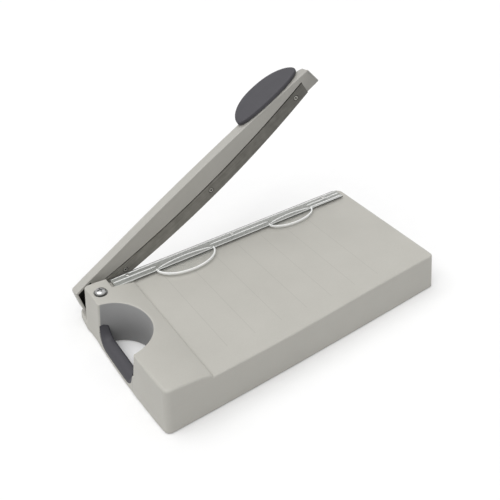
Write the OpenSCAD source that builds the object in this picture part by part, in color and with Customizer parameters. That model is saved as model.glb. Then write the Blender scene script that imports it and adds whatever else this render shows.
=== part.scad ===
// Guillotine paper trimmer: hollow moulded base with a carry hole, a steel bed knife,
// a sprung clear paper clamp and a hinged arm that carries a bowed cutting blade.
// Sizes are in millimetres. Pieces are drawn in the bed frame: x runs along the cut from the
// paper stop, y = 0 is the cutting plane with the bed at negative y, z = 0 is the table.

/* [Base] */
// Cutting length from the paper stop to the right end
cut_len = 305; // [250:1:360]
// How far the raised end reaches past the paper stop, on the table
end_len = 57; // [54:0.5:70]
// Depth of the base at its left end
depth_left = 183; // [165:1:215]
// Depth of the base at its right end
depth_right = 170.5; // [150:0.5:180]
// Height of the bed above the table
bed_h = 46.7; // [44:0.1:60]
// Thickness of the moulded walls
wall = 2.5; // [2:0.1:3.2]
// Radius of the upright corners
corner_r = 9; // [5:0.5:12]
// How far the front wall flares out towards the table
front_draft = 2; // [0.5:0.1:4]
// How far the right wall leans in from the table to bed height
right_lean = 5.5; // [0.5:0.1:7]
// How far the left wall leans in from the table to bed height
end_lean = 4.5; // [1:0.1:6]
// How far the left wall bows out at its middle
end_bow = 5; // [2:0.1:7]
// Height of the paper stop above the bed
step_h = 3; // [2:0.1:5]
// Height of the raised end's crest above the bed
crown_h = 10; // [7:0.1:14]
// Distance from the paper stop to the crest of the raised end
crown_x = 45; // [38:0.5:50]
// Thickness of the cover plate under the base
plate_t = 2; // [1.5:0.1:3]
// How far the rubber feet stand out below the base
foot_proud = 1; // [0.5:0.1:3]
// Radius of a rubber foot
foot_r = 8; // [5:0.5:10]

/* [Carry handle] */
// Radius of the carry hole
hole_r = 41; // [36:0.5:42]
// Distance of the carry hole's centre past the paper stop
hole_x = 55.5; // [54:0.5:58]
// Distance of the carry hole's centre in front of the cutting plane
hole_y = 82.5; // [79:0.5:88]
// Width of the grip bar across the hole
grip_w = 13; // [10:0.5:16]
// Height of the grip bar's top above the table
grip_top = 15; // [12:0.5:18]
// Height of the grip bar's low outer edge above the table
grip_edge = 5; // [4.5:0.1:7]
// Height to which the grip runs up the walls of the hole
grip_rise = 30; // [20:1:34]

/* [Bed knife and clamp] */
// Width of the fixed steel bed knife
knife_w = 6; // [4:0.1:8]
// Thickness of the bed knife
knife_t = 3; // [2:0.1:4]
// Length of plain bed left at the right end of the knife and clamp
rail_margin = 10; // [6:0.5:20]
// Distance from the paper stop to the hinge ear beside the clamp slot
ear_gap = 25.5; // [22:0.5:28]
// Width of the clear clamp strip
clamp_w = 12.8; // [10:0.1:15]
// Thickness of the clamp strip
clamp_t = 2.2; // [1.6:0.1:3]
// Gap under the clamp for paper
clamp_gap = 2.3; // [1.5:0.1:3]
// Length of the left finger tab
tab_len_a = 75; // [50:1:85]
// Reach of the left finger tab in front of the strip
tab_reach_a = 22; // [14:0.5:26]
// Place of the left finger tab's middle along the bed
tab_x_a = 65.5; // [60:0.5:75]
// Length of the right finger tab
tab_len_b = 65; // [45:1:75]
// Reach of the right finger tab in front of the strip
tab_reach_b = 15; // [10:0.5:20]
// Place of the right finger tab's middle along the bed
tab_x_b = 212.5; // [190:0.5:225]
// Radius of a clamp post's shank
post_r = 1.5; // [1.2:0.05:2]

/* [Arm] */
// Opening of the arm above its closed place, in degrees
arm_open = 31.4; // [20:0.1:45]
// Distance of the hinge past the paper stop
pivot_x = 36; // [34:0.5:38]
// Height of the hinge above the table
pivot_z = 40; // [38:0.5:41]
// Radius of the hinge pin
pin_r = 4; // [3:0.1:4.5]
// Length of the arm from the hinge to its tip
arm_len = 338; // [320:1:380]
// Width of the arm
arm_w = 18.2; // [17.5:0.1:24]
// Height of the arm's top above the hinge, at the arm's middle
arm_top = 17.7; // [16:0.1:20]
// Distance of the arm's lower rim below the hinge
arm_drop = 12; // [10:0.1:14]
// Radius of the long bow of the arm's top
arm_bow_r = 3300; // [2500:50:6000]
// Radius of the rounded outer top edge
arm_edge_r = 11; // [8:0.5:12]
// Thickness of the arm's moulded walls
arm_wall = 2.5; // [2:0.1:3]

/* [Blade] */
// Width of the cutting blade
blade_w = 18; // [15:0.5:20]
// Thickness of the cutting blade
blade_t = 2; // [1.2:0.1:2.5]
// Radius of the blade's bow
blade_bow_r = 1220; // [1000:10:2000]
// Thickness of the steel carrier bar
bar_t = 3; // [2:0.1:4]

/* [Hand grip] */
// Length of the hand grip along the arm
pad_len = 88; // [70:1:100]
// Width of the hand grip across the arm
pad_w = 36; // [30:0.5:40]
// Thickness of the hand grip
pad_t = 4; // [3.5:0.1:6]

/* [Hidden] */
$fn = 48;
// Clearances
run_gap = 0.05;
slide_gap = 0.08;
part_gap = 0.3;
seat_gap = 0.15;
cut_past = 1;

// Base levels and edges
base_z = foot_proud;
rear_y = -0.6;
ear_y = -7;
crest_z = bed_h + crown_h;
over_z = crest_z + 2 * cut_past;
plinth_y = 16;
front_bend = 1.5;
right_round = 0.55;
bow_back = 13;
bow_y = -depth_left / 2 + bow_back;
arc_steps = 6;
left_steps = 8;
front_steps = 12;

function front_y(x, z) =
    -depth_left + (depth_left - depth_right) * pow(max(x + end_len, 0) / (cut_len + end_len), front_bend)
    - front_draft * (1 - z / bed_h);
function left_x(y, z) = -end_len + end_bow * pow((y - bow_y) / (depth_left / 2), 2) + end_lean * z / bed_h;
function arc(x, y, r, from, to) =
    [for (i = [0:arc_steps]) let (t = from + (to - from) * i / arc_steps) [x + r * cos(t), y + r * sin(t)]];

// Outline of the base at height z, moved in by d, counter-clockwise seen from above.
// Behind the hinge it reaches back to the line named back_y: the ear's or the plinth's.
function base_ring(z, d, back_y) =
    let (
        r = max(corner_r - d, 1),
        right_r = max(corner_r * right_round - d, 0.8),
        back_r = back_y > rear_y ? r : r / 2,
        right = cut_len + right_lean * (1 - z / bed_h) - d,
        rear = rear_y - d,
        jog = back_y > rear_y ? -ear_gap - d : -ear_gap + d,
        low = front_y(-end_len + r, z) + d + r,
        left = left_x(low, z) + d + r,
        side = ear_y - corner_r,
        back = back_y - d - back_r,
        right_low = front_y(right - right_r, z) + d + right_r
    )
    concat(
        arc(left_x(back, z) + d + back_r, back, back_r, 90, 180),
        [for (i = [0:left_steps - 1]) let (y = side + (low - side) * i / left_steps) [left_x(y, z) + d, y]],
        arc(left, low, r, 180, 270),
        [for (i = [1:front_steps - 1])
            let (x = left + (right - right_r - left) * i / front_steps) [x, front_y(x, z) + d]],
        arc(right - right_r, right_low, right_r, 270, 360),
        arc(right - r, rear - r, r, 0, 90),
        [[jog, rear], [jog, back_y - d]]
    );

// Closed solid through rings of equal point count, each ring counter-clockwise seen from its end.
// Each end is filled by a fan from one of its points: an inward corner, where the ring has one.
module loft(rings, low_corner = 0, high_corner = 0) {
    n = len(rings[0]);
    last = len(rings) - 1;
    sides = [for (k = [0:last - 1]) for (i = [0:n - 1]) let (j = (i + 1) % n)
        each [[k * n + i, (k + 1) * n + i, (k + 1) * n + j], [k * n + i, (k + 1) * n + j, k * n + j]]];
    polyhedron(
        points = [for (ring = rings) each ring],
        faces = concat(
            [[for (i = [0:n - 1]) (low_corner + i) % n]],
            sides,
            [[for (i = [n:-1:1]) last * n + (high_corner + i) % n]]
        )
    );
}
function lift(ring, z) = [for (p = ring) [p[0], p[1], z]];

// Solid of the base moved in by d: wide at the plinth under the hinge, then cut back to the ear
module base_block(d, low, high) {
    ledge = plinth_z - d;
    wide = [for (z = [low, min(ledge, high)]) lift(base_ring(z, d, plinth_y), z)];
    narrow = [for (z = [ledge + sliver, high]) lift(base_ring(z, d, ear_y), z)];
    corner = len(wide[0]) - 2;
    loft(high <= ledge ? wide : concat(wide, narrow), corner, high <= ledge ? corner : corner + 1);
}

// Side outline of the bed and the raised end, lowered by drop
top_steps = 14;
side_past = 5;
side_reach = end_len + side_past;
function crown_z(x) = bed_h + step_h + (crown_h - step_h) * (1 - pow((x + crown_x) / crown_x, 2));
module top_profile(drop) {
    crown = [for (i = [0:top_steps])
        let (x = -drop - (side_reach - drop) * i / top_steps) [x, crown_z(x) - drop]];
    points = concat(
        [[-side_reach, -cut_past], [cut_len + side_reach, -cut_past], [cut_len + side_reach, bed_h - drop]],
        [[-drop, bed_h - drop]],
        crown
    );
    rotate([90, 0, 0])
        translate([0, 0, -plinth_y - cut_past])
            linear_extrude(plinth_y + depth_left + front_draft + 2 * cut_past)
                polygon(points);
}

// Where the fasteners of the base stand
boss_r = 4;
boss_hole_r = 1.3;
screw_inset = 16;
screw_rows = [-screw_inset, -depth_right + screw_inset];
screw_columns = [screw_inset, cut_len / 2, cut_len - screw_inset];
foot_inset = 26;
foot_columns = [-end_len + foot_inset, cut_len - foot_inset];
foot_rows_left = [-foot_inset, -depth_left + foot_inset];
foot_rows_right = [-foot_inset, -depth_right + foot_inset];
post_near = 2;
post_mid = 133;
post_inset = 35;
post_columns = [-post_near, post_mid, cut_len - post_inset];
rail_gap = 0.8;
rail_x0 = -ear_gap + rail_gap;
rail_x1 = cut_len - rail_margin;
clamp_side_gap = 0.2;
slot_gap = 1;
post_back = 4.3;
clamp_y1 = -knife_w - clamp_side_gap;
clamp_y0 = clamp_y1 - clamp_w;
slot_y = clamp_y0 - slot_gap;
post_y = clamp_y1 - post_back;
post_head_r = 2.4;
post_head_h = 1.2;
pocket_r = 3.8;
pocket_deep = 6;
pocket_wall = 1.6;
post_deep = 12;
clamp_z = bed_h + clamp_gap;
knife_z = bed_h - knife_t;
ledge_t = 3;
knife_screw_inset = 30;
knife_screw_columns = [for (i = [0:3]) knife_screw_inset + (rail_x1 - 2 * knife_screw_inset) * i / 3];
knife_screw_y = -knife_w * 0.7;
knife_screw_r = 1.3;
knife_head_r = 2.2;
knife_notch = 14;

// Hinge bracket, bolt and pin places
bolt_x = -40;
bolt_y = -26;
bolt_r = 3;
bolt_head_r = 6;
bolt_head_h = 3.8;
bolt_washer_r = 7.2;
bolt_washer_t = 1;
bolt_seat = 0.8;
bolt_play = 0.2;
bolt_z = crown_z(bolt_x) - bolt_seat;
flange_t = 3;
flange_drop = 8;
flange_z = crown_z(bolt_x) - flange_drop;
bracket_t = 4;
bracket_drop = 12;
bracket_gap = 0.5;
bracket_x0 = -46;
bracket_x1 = -ear_gap - wall - bracket_gap;
bracket_y1 = ear_y - wall - seat_gap;
bracket_y0 = bracket_y1 - bracket_t;
pin_head_r = 6.5;
pin_head_t = 4;
spacer_r = 6.5;
washer_t = 0.8;
washer_lip = 1;
nut_lip = 0.5;
pin_past = 1;
arm_hole_gap = 2;
hole_wall_r = hole_r + wall;

module carry_hole(r) {
    translate([-hole_x, -hole_y, -cut_past]) cylinder(r = r, h = over_z + 2 * cut_past, $fn = 96);
}
module along_y(x, y0, y1, z, r) {
    translate([x, y0, z]) rotate([-90, 0, 0]) cylinder(r = r, h = y1 - y0);
}

// Moulded top housing with bed, paper stop, raised end, carry hole and screw bosses
module base_shell() {
    bar_x1 = left_x(-hole_y, grip_edge) + grip_w;
    color("gainsboro") placed() difference() {
        union() {
            difference() {
                intersection() {
                    base_block(0, base_z, over_z);
                    top_profile(0);
                }
                difference() {
                    intersection() {
                        base_block(wall, base_z - cut_past, over_z);
                        top_profile(wall);
                    }
                    carry_hole(hole_wall_r);
                    // solid ledge under the bed knife and the clamp slot in the raised end
                    translate([-ear_gap - wall, -knife_w - wall, knife_z - ledge_t])
                        cube([cut_len + ear_gap, knife_w + wall, knife_t + ledge_t]);
                    translate([-ear_gap - wall, slot_y - wall, bed_h - wall])
                        cube([ear_gap + wall, -slot_y + wall, crown_h]);
                }
                carry_hole(hole_r);
            }
            // low bridge of the left wall across the hole, under the grip
            intersection() {
                base_block(0, base_z, grip_edge - part_gap);
                carry_hole(hole_r + wall / 2);
                translate([-side_reach, -depth_left, 0]) cube([side_reach + bar_x1, depth_left, over_z]);
            }
            for (x = screw_columns, y = screw_rows)
                translate([x, y, base_z + plate_t])
                    cylinder(r = boss_r, h = bed_h - wall / 2 - base_z - plate_t);
            for (x = post_columns)
                translate([x, post_y, bed_h - post_deep - wall])
                    cylinder(r = pocket_r + pocket_wall, h = post_deep + wall / 2);
            translate([bolt_x, bolt_y, flange_z + flange_t])
                cylinder(r = bolt_washer_r, h = bolt_z - flange_z - flange_t - wall / 2);
        }
        // clamp slot in the raised end
        translate([-ear_gap, slot_y, bed_h]) cube([ear_gap, -slot_y + cut_past, crown_h + 2 * cut_past]);
        // rebate for the bed knife
        translate([rail_x0, -knife_w, knife_z])
            cube([rail_x1 - rail_x0, knife_w + cut_past, knife_t + cut_past]);
        for (x = knife_screw_columns)
            translate([x, knife_screw_y, knife_z - ledge_t - cut_past])
                cylinder(r = knife_screw_r, h = ledge_t + 2 * cut_past);
        // notches in the rear wall for the heads of the knife's screws
        for (x = knife_screw_columns)
            translate([x, knife_screw_y, knife_z - ledge_t - knife_notch])
                cylinder(r = knife_head_r + part_gap, h = knife_notch);
        for (x = post_columns) translate([x, post_y, 0]) {
            translate([0, 0, bed_h - pocket_deep]) cylinder(r = pocket_r, h = pocket_deep + cut_past);
            translate([0, 0, bed_h - post_deep]) cylinder(r = post_r, h = post_deep);
        }
        for (x = screw_columns, y = screw_rows)
            translate([x, y, base_z]) cylinder(r = boss_hole_r, h = bed_h - 3 * wall - base_z);
        translate([bolt_x, bolt_y, flange_z]) cylinder(r = bolt_r + bolt_play, h = over_z - flange_z);
        translate([bolt_x, bolt_y, bolt_z]) cylinder(r = bolt_washer_r + part_gap, h = over_z - bolt_z);
        along_y(-pivot_x, ear_y - 2 * wall, ear_y + cut_past, pivot_z, pin_r);
        for (y = grip_screw_rows)
            translate([grip_screw_x, y, 0]) cylinder(r = boss_hole_r, h = grip_edge + cut_past);
    }
}

// Flat cover that closes the base from below
module bottom_plate() {
    color("dimgray") placed() difference() {
        base_block(wall + part_gap, base_z, base_z + plate_t);
        carry_hole(hole_wall_r + part_gap);
        for (x = screw_columns, y = screw_rows)
            translate([x, y, 0]) cylinder(r = screw_r, h = base_z + plate_t + cut_past);
        for (x = screw_columns, y = screw_rows)
            translate([x, y, 0]) cylinder(r = screw_head_r + part_gap, h = base_z + screw_head_h);
    }
}

screw_r = 1.3;
screw_head_r = 2.6;
screw_head_h = 1;
screw_len = 12;
module bottom_screws() {
    color("silver") placed()
        for (x = screw_columns, y = screw_rows) translate([x, y, base_z]) {
            cylinder(r = screw_head_r, h = screw_head_h);
            cylinder(r = screw_r, h = screw_len);
        }
}

// Four glued rubber discs
module rubber_feet() {
    color("black") placed() {
        for (y = foot_rows_left) translate([foot_columns[0], y, 0]) cylinder(r = foot_r, h = foot_proud);
        for (y = foot_rows_right) translate([foot_columns[1], y, 0]) cylinder(r = foot_r, h = foot_proud);
    }
}

// Soft saddle-shaped bar across the left mouth of the carry hole
saddle_steps = 16;
saddle_flat = 0.68;
grip_round = 1.5;
function saddle(s) = pow(max(abs(s) - saddle_flat, 0) / (1 - saddle_flat), 2);
function grip_section(s) =
    let (
        y = -hole_y + s * hole_r,
        edge = grip_edge + (grip_rise - grip_edge) * saddle(s),
        top = grip_top + (grip_rise - grip_top) * saddle(s),
        out = left_x(y, edge) + seat_gap,
        inn = left_x(-hole_y, grip_edge) + grip_w,
        low = grip_edge
    )
    [[inn, y, low], [inn, y, top - grip_round], [inn - grip_round, y, top],
        for (t = [20:17.5:90])
            [out + (inn - 2 * grip_round - out) * (1 - sin(t)), y, edge + (top - edge) * cos(t)],
        [left_x(y, low) + seat_gap, y, low]];
grip_screw_x = left_x(-hole_y, grip_edge) + grip_w / 2 + cut_past;
grip_screw_reach = 18;
grip_screw_deep = 4;
grip_screw_rows = [-hole_y - grip_screw_reach, -hole_y + grip_screw_reach];
module carry_grip() {
    color("dimgray") placed() difference() {
        intersection() {
            loft([for (i = [0:saddle_steps]) grip_section(-1 + 2 * i / saddle_steps)]);
            carry_hole(hole_r - seat_gap);
        }
        for (y = grip_screw_rows)
            translate([grip_screw_x, y, 0])
                cylinder(r = screw_r, h = base_z + grip_edge + grip_screw_deep + seat_gap);
    }
}
module carry_grip_screws() {
    color("silver") placed()
        for (y = grip_screw_rows) translate([grip_screw_x, y, base_z - screw_head_h + seat_gap]) {
            cylinder(r = screw_head_r, h = screw_head_h - seat_gap);
            cylinder(r = screw_r, h = grip_edge + grip_screw_deep);
        }
}

// Hardened strip along the rear edge of the bed
module fixed_blade() {
    color("slategray") placed() difference() {
        translate([rail_x0, -knife_w, knife_z]) cube([rail_x1 - rail_x0, knife_w, knife_t]);
        for (x = knife_screw_columns)
            translate([x, knife_screw_y, knife_z - cut_past]) cylinder(r = knife_screw_r, h = knife_t);
    }
}
module fixed_blade_screws() {
    color("silver") placed()
        for (x = knife_screw_columns) translate([x, knife_screw_y, knife_z - ledge_t]) {
            translate([0, 0, -screw_head_h]) cylinder(r = knife_head_r, h = screw_head_h);
            cylinder(r = knife_screw_r, h = ledge_t + knife_t - cut_past);
        }
}

// Steel angle inside the ear: upright plate for the pin, flange under the ear's top
module hinge_bracket() {
    flange_y0 = bolt_y - bolt_washer_r;
    plate_z0 = pivot_z - bracket_drop;
    color("slategray") placed() difference() {
        union() {
            translate([bracket_x0, bracket_y0, plate_z0])
                cube([bracket_x1 - bracket_x0, bracket_t, flange_z + flange_t - plate_z0]);
            translate([bracket_x0, flange_y0, flange_z])
                cube([bracket_x1 - bracket_x0, bracket_y0 - flange_y0, flange_t]);
        }
        translate([bolt_x, bolt_y, flange_z - cut_past]) cylinder(r = bolt_r, h = flange_t + 2 * cut_past);
        along_y(-pivot_x, bracket_y0 - cut_past, bracket_y1 + cut_past, pivot_z, pin_r);
    }
}

// Domed bolt through the top of the ear
bolt_past = 7;
bolt_len = bolt_z - flange_z + bolt_past;
module bracket_bolt() {
    dome_r = (bolt_head_r * bolt_head_r + bolt_head_h * bolt_head_h) / (2 * bolt_head_h);
    color("white") placed() translate([bolt_x, bolt_y, bolt_z + bolt_washer_t]) {
        intersection() {
            translate([0, 0, bolt_head_h - dome_r]) sphere(r = dome_r, $fn = 64);
            cylinder(r = bolt_head_r, h = bolt_head_h);
        }
        translate([0, 0, -bolt_len]) cylinder(r = bolt_r, h = bolt_len + bolt_head_h / 4);
    }
}
module bracket_washer() {
    color("silver") placed() translate([bolt_x, bolt_y, bolt_z]) difference() {
        cylinder(r = bolt_washer_r, h = bolt_washer_t);
        translate([0, 0, -cut_past]) cylinder(r = bolt_r, h = bolt_washer_t + 2 * cut_past);
    }
}
module bracket_nut() {
    nut_r = 5.8;
    nut_t = 5;
    color("silver") placed() translate([bolt_x, bolt_y, flange_z - nut_t]) difference() {
        cylinder(r = nut_r, h = nut_t, $fn = 6);
        translate([0, 0, -cut_past]) cylinder(r = bolt_r, h = nut_t + 2 * cut_past);
    }
}

// Hinge pin stack along y: head, bracket, ear wall, spacer, thrust washer, bushed bar, spring washer, nut
bar_y0 = part_gap + blade_t;
bar_y1 = bar_y0 + bar_t;
thrust_y1 = bar_y0 - part_gap;
thrust_y0 = thrust_y1 - washer_t;
bush_flange = 2;
bush_y1 = bar_y1 + bush_flange;
bush_r = 6;
wave_t = 1;
pivot_nut_t = 4;
spring_y0 = bush_y1 + part_gap;
spring_y1 = spring_y0 + wave_t;
nut_y1 = spring_y1 + pivot_nut_t;
module ring_y(y0, y1, r, bore) {
    difference() {
        along_y(-pivot_x, y0, y1, pivot_z, r);
        along_y(-pivot_x, y0 - cut_past, y1 + cut_past, pivot_z, bore);
    }
}
module pivot_pin() {
    color("silver") placed() {
        along_y(-pivot_x, bracket_y0 - pin_head_t, bracket_y0, pivot_z, pin_head_r);
        along_y(-pivot_x, bracket_y0 - cut_past, nut_y1 + pin_past, pivot_z, pin_r);
    }
}
module pivot_spacer() {
    color("gray") placed() ring_y(ear_y, thrust_y0, spacer_r, pin_r);
}
module thrust_washer() {
    color("darkkhaki") placed() ring_y(thrust_y0, thrust_y1, spacer_r + washer_lip, pin_r);
}
module wave_washer() {
    color("lightslategray") placed() ring_y(spring_y0, spring_y1, spacer_r + nut_lip, pin_r);
}
module pivot_nut() {
    color("silver") placed() difference() {
        translate([-pivot_x, spring_y1, pivot_z]) rotate([-90, 0, 0])
            cylinder(r = spacer_r + nut_lip, h = nut_y1 - spring_y1, $fn = 6);
        along_y(-pivot_x, spring_y1 - cut_past, nut_y1 + cut_past, pivot_z, pin_r);
    }
}

// Headed posts that guide the clamp and hold it down against its springs
module clamp_posts() {
    color("silver") placed() for (x = post_columns) translate([x, post_y, 0]) {
        translate([0, 0, bed_h - post_deep])
            cylinder(r = post_r, h = post_deep + clamp_gap + clamp_t + part_gap);
        translate([0, 0, clamp_z + clamp_t + part_gap]) cylinder(r = post_head_r, h = post_head_h);
    }
}

// Clear clamp: long strip with ribbed edges and two half-moon finger tabs
rib_w = 1.2;
rib_h = 0.7;
rim_w = 1.8;
tab_t = 1.4;
tab_steps = 24;
function half_moon(length, reach, inset) =
    [for (i = [0:tab_steps]) let (t = 180 + 180 * i / tab_steps)
        [(length / 2 - inset) * cos(t), (reach - inset) * sin(t)]];
module finger_tab(x, length, reach) {
    translate([x, clamp_y0, clamp_z]) {
        linear_extrude(tab_t) polygon(half_moon(length, reach, 0));
        linear_extrude(clamp_t + rib_h) difference() {
            polygon(half_moon(length, reach, 0));
            polygon(half_moon(length, reach, rim_w));
        }
    }
}
module paper_clamp() {
    color("lightcyan", 0.6) placed() difference() {
        union() {
            translate([rail_x0, clamp_y0, clamp_z]) cube([rail_x1 - rail_x0, clamp_w, clamp_t]);
            for (y = [clamp_y0, clamp_y1 - rib_w])
                translate([rail_x0, y, clamp_z]) cube([rail_x1 - rail_x0, rib_w, clamp_t + rib_h]);
            finger_tab(tab_x_a, tab_len_a, tab_reach_a);
            finger_tab(tab_x_b, tab_len_b, tab_reach_b);
        }
        for (x = post_columns)
            translate([x, post_y, clamp_z - cut_past])
                cylinder(r = post_r + slide_gap, h = clamp_t + 2 * cut_past);
    }
}

// Small compression springs round the posts: a six-sided wire swept along a helix
spring_turns = 5;
spring_wire_r = 0.4;
spring_mid_r = 2.6;
spring_rings = 8;
spring_z0 = bed_h - pocket_deep + spring_wire_r;
spring_len = clamp_z - seat_gap - spring_wire_r - spring_z0;
spring_pitch = spring_len / spring_turns;
echo(least_gap_between_spring_turns = spring_pitch - 2 * spring_wire_r);
function spring_ring(i) =
    let (t = 360 * i / spring_rings, z = spring_z0 + spring_pitch * i / spring_rings)
    [for (s = [0:60:300]) [
        (spring_mid_r + spring_wire_r * cos(s)) * cos(t),
        (spring_mid_r + spring_wire_r * cos(s)) * sin(t),
        z + spring_wire_r * sin(s)
    ]];
module clamp_springs() {
    color("silver") placed() for (x = post_columns) translate([x, post_y, 0])
        loft([for (i = [0:spring_turns * spring_rings]) spring_ring(i)]);
}

// Arm pieces are drawn closed, with a along the arm from the hinge and h up, then opened
module on_arm() {
    placed() translate([-pivot_x, 0, pivot_z]) rotate([0, -arm_open, 0]) children();
}
// Turns a side outline drawn in (a, h) into a plate from y0 to y1
module side_plate(y0, y1) {
    translate([0, y1, 0]) rotate([90, 0, 0]) linear_extrude(y1 - y0) children();
}
module across_arm(a, y0, y1, h, r) {
    translate([a, y0, h]) rotate([-90, 0, 0]) cylinder(r = r, h = y1 - y0);
}
arm_mid = 130;
blade_mid = 155;
blade_top = -4.6;
blade_a0 = 11;
tip_block = 17.5;
blade_a1 = arm_len - tip_block;
arm_steps = 18;
tail_top = 18;
tail_low = 27;
web_in = 0.5;
face_y = part_gap + web_in;
arm_out = face_y + arm_w;
tip_r = 13;
tip_share = 0.8;
least_top = 0.5;
tip_lean = 1.5;
tip_steps = 5;
web_a0 = 2;
edge_round = 2;
edge_steps = 6;
sliver = 0.02;
function top_h(a) = arm_top - pow(a - arm_mid, 2) / (2 * arm_bow_r);
function blade_h(a, level) = level + pow(a - blade_mid, 2) / (2 * blade_bow_r);
function tip_in(a) =
    let (d = min(max(a - (arm_len - tip_r), 0), tip_r - sliver)) tip_r - sqrt(tip_r * tip_r - d * d);

// The whole part is moved so that the middle of its footprint box stands on the origin
pad_in = 6;
pad_over = 4;
pad_reach = pad_in - pad_over + pad_w;
front_reach = depth_left + front_draft;
tail_h = top_h(-tail_top) - edge_round;
tail_reach = pivot_x - tail_a(tail_h) * cos(arm_open) + tail_h * sin(arm_open);
right_reach = cut_len + right_lean * (1 - base_z / bed_h);
plinth_z = pivot_z - sqrt(tail_low * tail_low + arm_drop * arm_drop) - cut_past;
mid_x = (right_reach - max(end_len, tail_reach)) / 2;
mid_y = (pad_reach - front_reach) / 2;
module placed() {
    translate([-mid_x, -mid_y, 0]) children();
}

// A station across the arm: [end, a, web, drop]. The end is "mid", or "tail" or "tip" for rings that
// lie along the leaning ends. The web is "open", "blade" or "full". The drop lowers a rounded end.
function tail_a(h) = -tail_low + (h + arm_drop) * (tail_low - tail_top) / (arm_drop + top_h(-tail_top));
function tip_a(h) = arm_len + tip_lean - (h + arm_drop) * 2 * tip_lean / (arm_drop + top_h(arm_len));
function station_a(s, h) = s[0] == "tail" ? tail_a(h) + s[1] : s[0] == "tip" ? tip_a(h) - s[1] : s[1];
function station_mid(s) = s[0] == "tail" ? s[1] - tail_top : s[0] == "tip" ? arm_len - s[1] : s[1];
function web_low(s, top) =
    s[2] == "full" ? -arm_drop
    : s[2] == "open" ? top - arm_wall - part_gap
    : blade_h(s[1], blade_top + part_gap);
// Open line round the arm at a station: web, top, rounded outer edge, outer wall; d moves it inside
function arm_line(s, d) =
    let (
        mid = station_mid(s),
        inner = d > 0 ? bar_y0 : face_y,
        out = arm_out - d - tip_in(mid) * tip_share,
        low = web_low(s, top_h(mid)),
        top = top_h(mid) - d - s[3],
        r = arm_edge_r - d
    )
    [for (p = concat(
        [[inner, low], [inner, top]],
        [for (i = [edge_steps:-1:0]) let (t = 90 * i / edge_steps)
            [max(out - r + r * cos(t), inner + least_top - t / 1000), top - r + r * sin(t)]],
        [[out, -arm_drop]]
    )) [station_a(s, p[1]), p[0], p[1]]];
arm_stations = concat(
    [["tail", 0, "full", edge_round], ["tail", edge_round, "full", 0], ["tail", arm_wall, "full", 0]],
    [["tail", arm_wall + sliver, "open", 0], ["mid", 0, "open", 0], ["mid", web_a0 - sliver, "open", 0]],
    [for (i = [0:arm_steps]) ["mid", web_a0 + (blade_a1 + part_gap - web_a0) * i / arm_steps, "blade", 0]],
    [["mid", blade_a1 + part_gap + sliver, "full", 0]],
    [for (i = [0:tip_steps - 1])
        ["mid", arm_len - tip_r + (tip_r - arm_wall - tip_lean - cut_past) * i / tip_steps, "full", 0]],
    [["tip", arm_wall, "full", 0], ["tip", edge_round / 2, "full", edge_round / 4]],
    [["tip", 0, "full", edge_round]]
);
// Closed tray: outer lines at every station, inner lines at those between the end walls
module arm_tray() {
    first = 2;
    last = len(arm_stations) - 3;
    outer = [for (s = arm_stations) arm_line(s, 0)];
    inner = [for (k = [first:last]) arm_line(arm_stations[k], arm_wall)];
    n = len(outer[0]);
    rows = len(outer);
    base = rows * n;
    function out_id(k, i) = k * n + i;
    function in_id(k, i) = base + (k - first) * n + i;
    function quad(a, b, c, d) = [[a, b, c], [a, c, d]];
    polyhedron(
        points = [for (line = concat(outer, inner)) each line],
        faces = concat(
            [for (k = [0:rows - 2]) for (i = [0:n - 2])
                each quad(out_id(k, i), out_id(k, i + 1), out_id(k + 1, i + 1), out_id(k + 1, i))],
            [for (k = [first:last - 1]) for (i = [0:n - 2])
                each quad(in_id(k, i), in_id(k + 1, i), in_id(k + 1, i + 1), in_id(k, i + 1))],
            [for (k = [first:last - 1])
                each quad(out_id(k, 0), out_id(k + 1, 0), in_id(k + 1, 0), in_id(k, 0))],
            [for (k = [first:last - 1])
                each quad(out_id(k, n - 1), in_id(k, n - 1), in_id(k + 1, n - 1), out_id(k + 1, n - 1))],
            [[for (i = [n - 1:-1:0]) out_id(0, i)], [for (i = [0:n - 1]) out_id(rows - 1, i)]],
            [[for (i = [0:n - 1]) in_id(first, i)], [for (i = [n - 1:-1:0]) in_id(last, i)]],
            // lower rims of the two end walls
            [for (k = [0, rows - 2]) [out_id(k, 0), out_id(k + 1, 0), out_id(k + 1, n - 1), out_id(k, n - 1)]],
            [[out_id(first - 1, 0), out_id(first, 0), in_id(first, 0),
                in_id(first, n - 1), out_id(first, n - 1), out_id(first - 1, n - 1)]],
            [[out_id(last + 1, 0), out_id(last + 1, n - 1), out_id(last, n - 1),
                in_id(last, n - 1), in_id(last, 0), out_id(last, 0)]]
        )
    );
}
function blade_outline(upper, lower, a0, a1, steps) = concat(
    [for (i = [0:steps]) let (a = a0 + (a1 - a0) * i / steps) [a, blade_h(a, lower)]],
    [for (i = [steps:-1:0]) let (a = a0 + (a1 - a0) * i / steps) [a, blade_h(a, upper)]]
);

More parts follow.
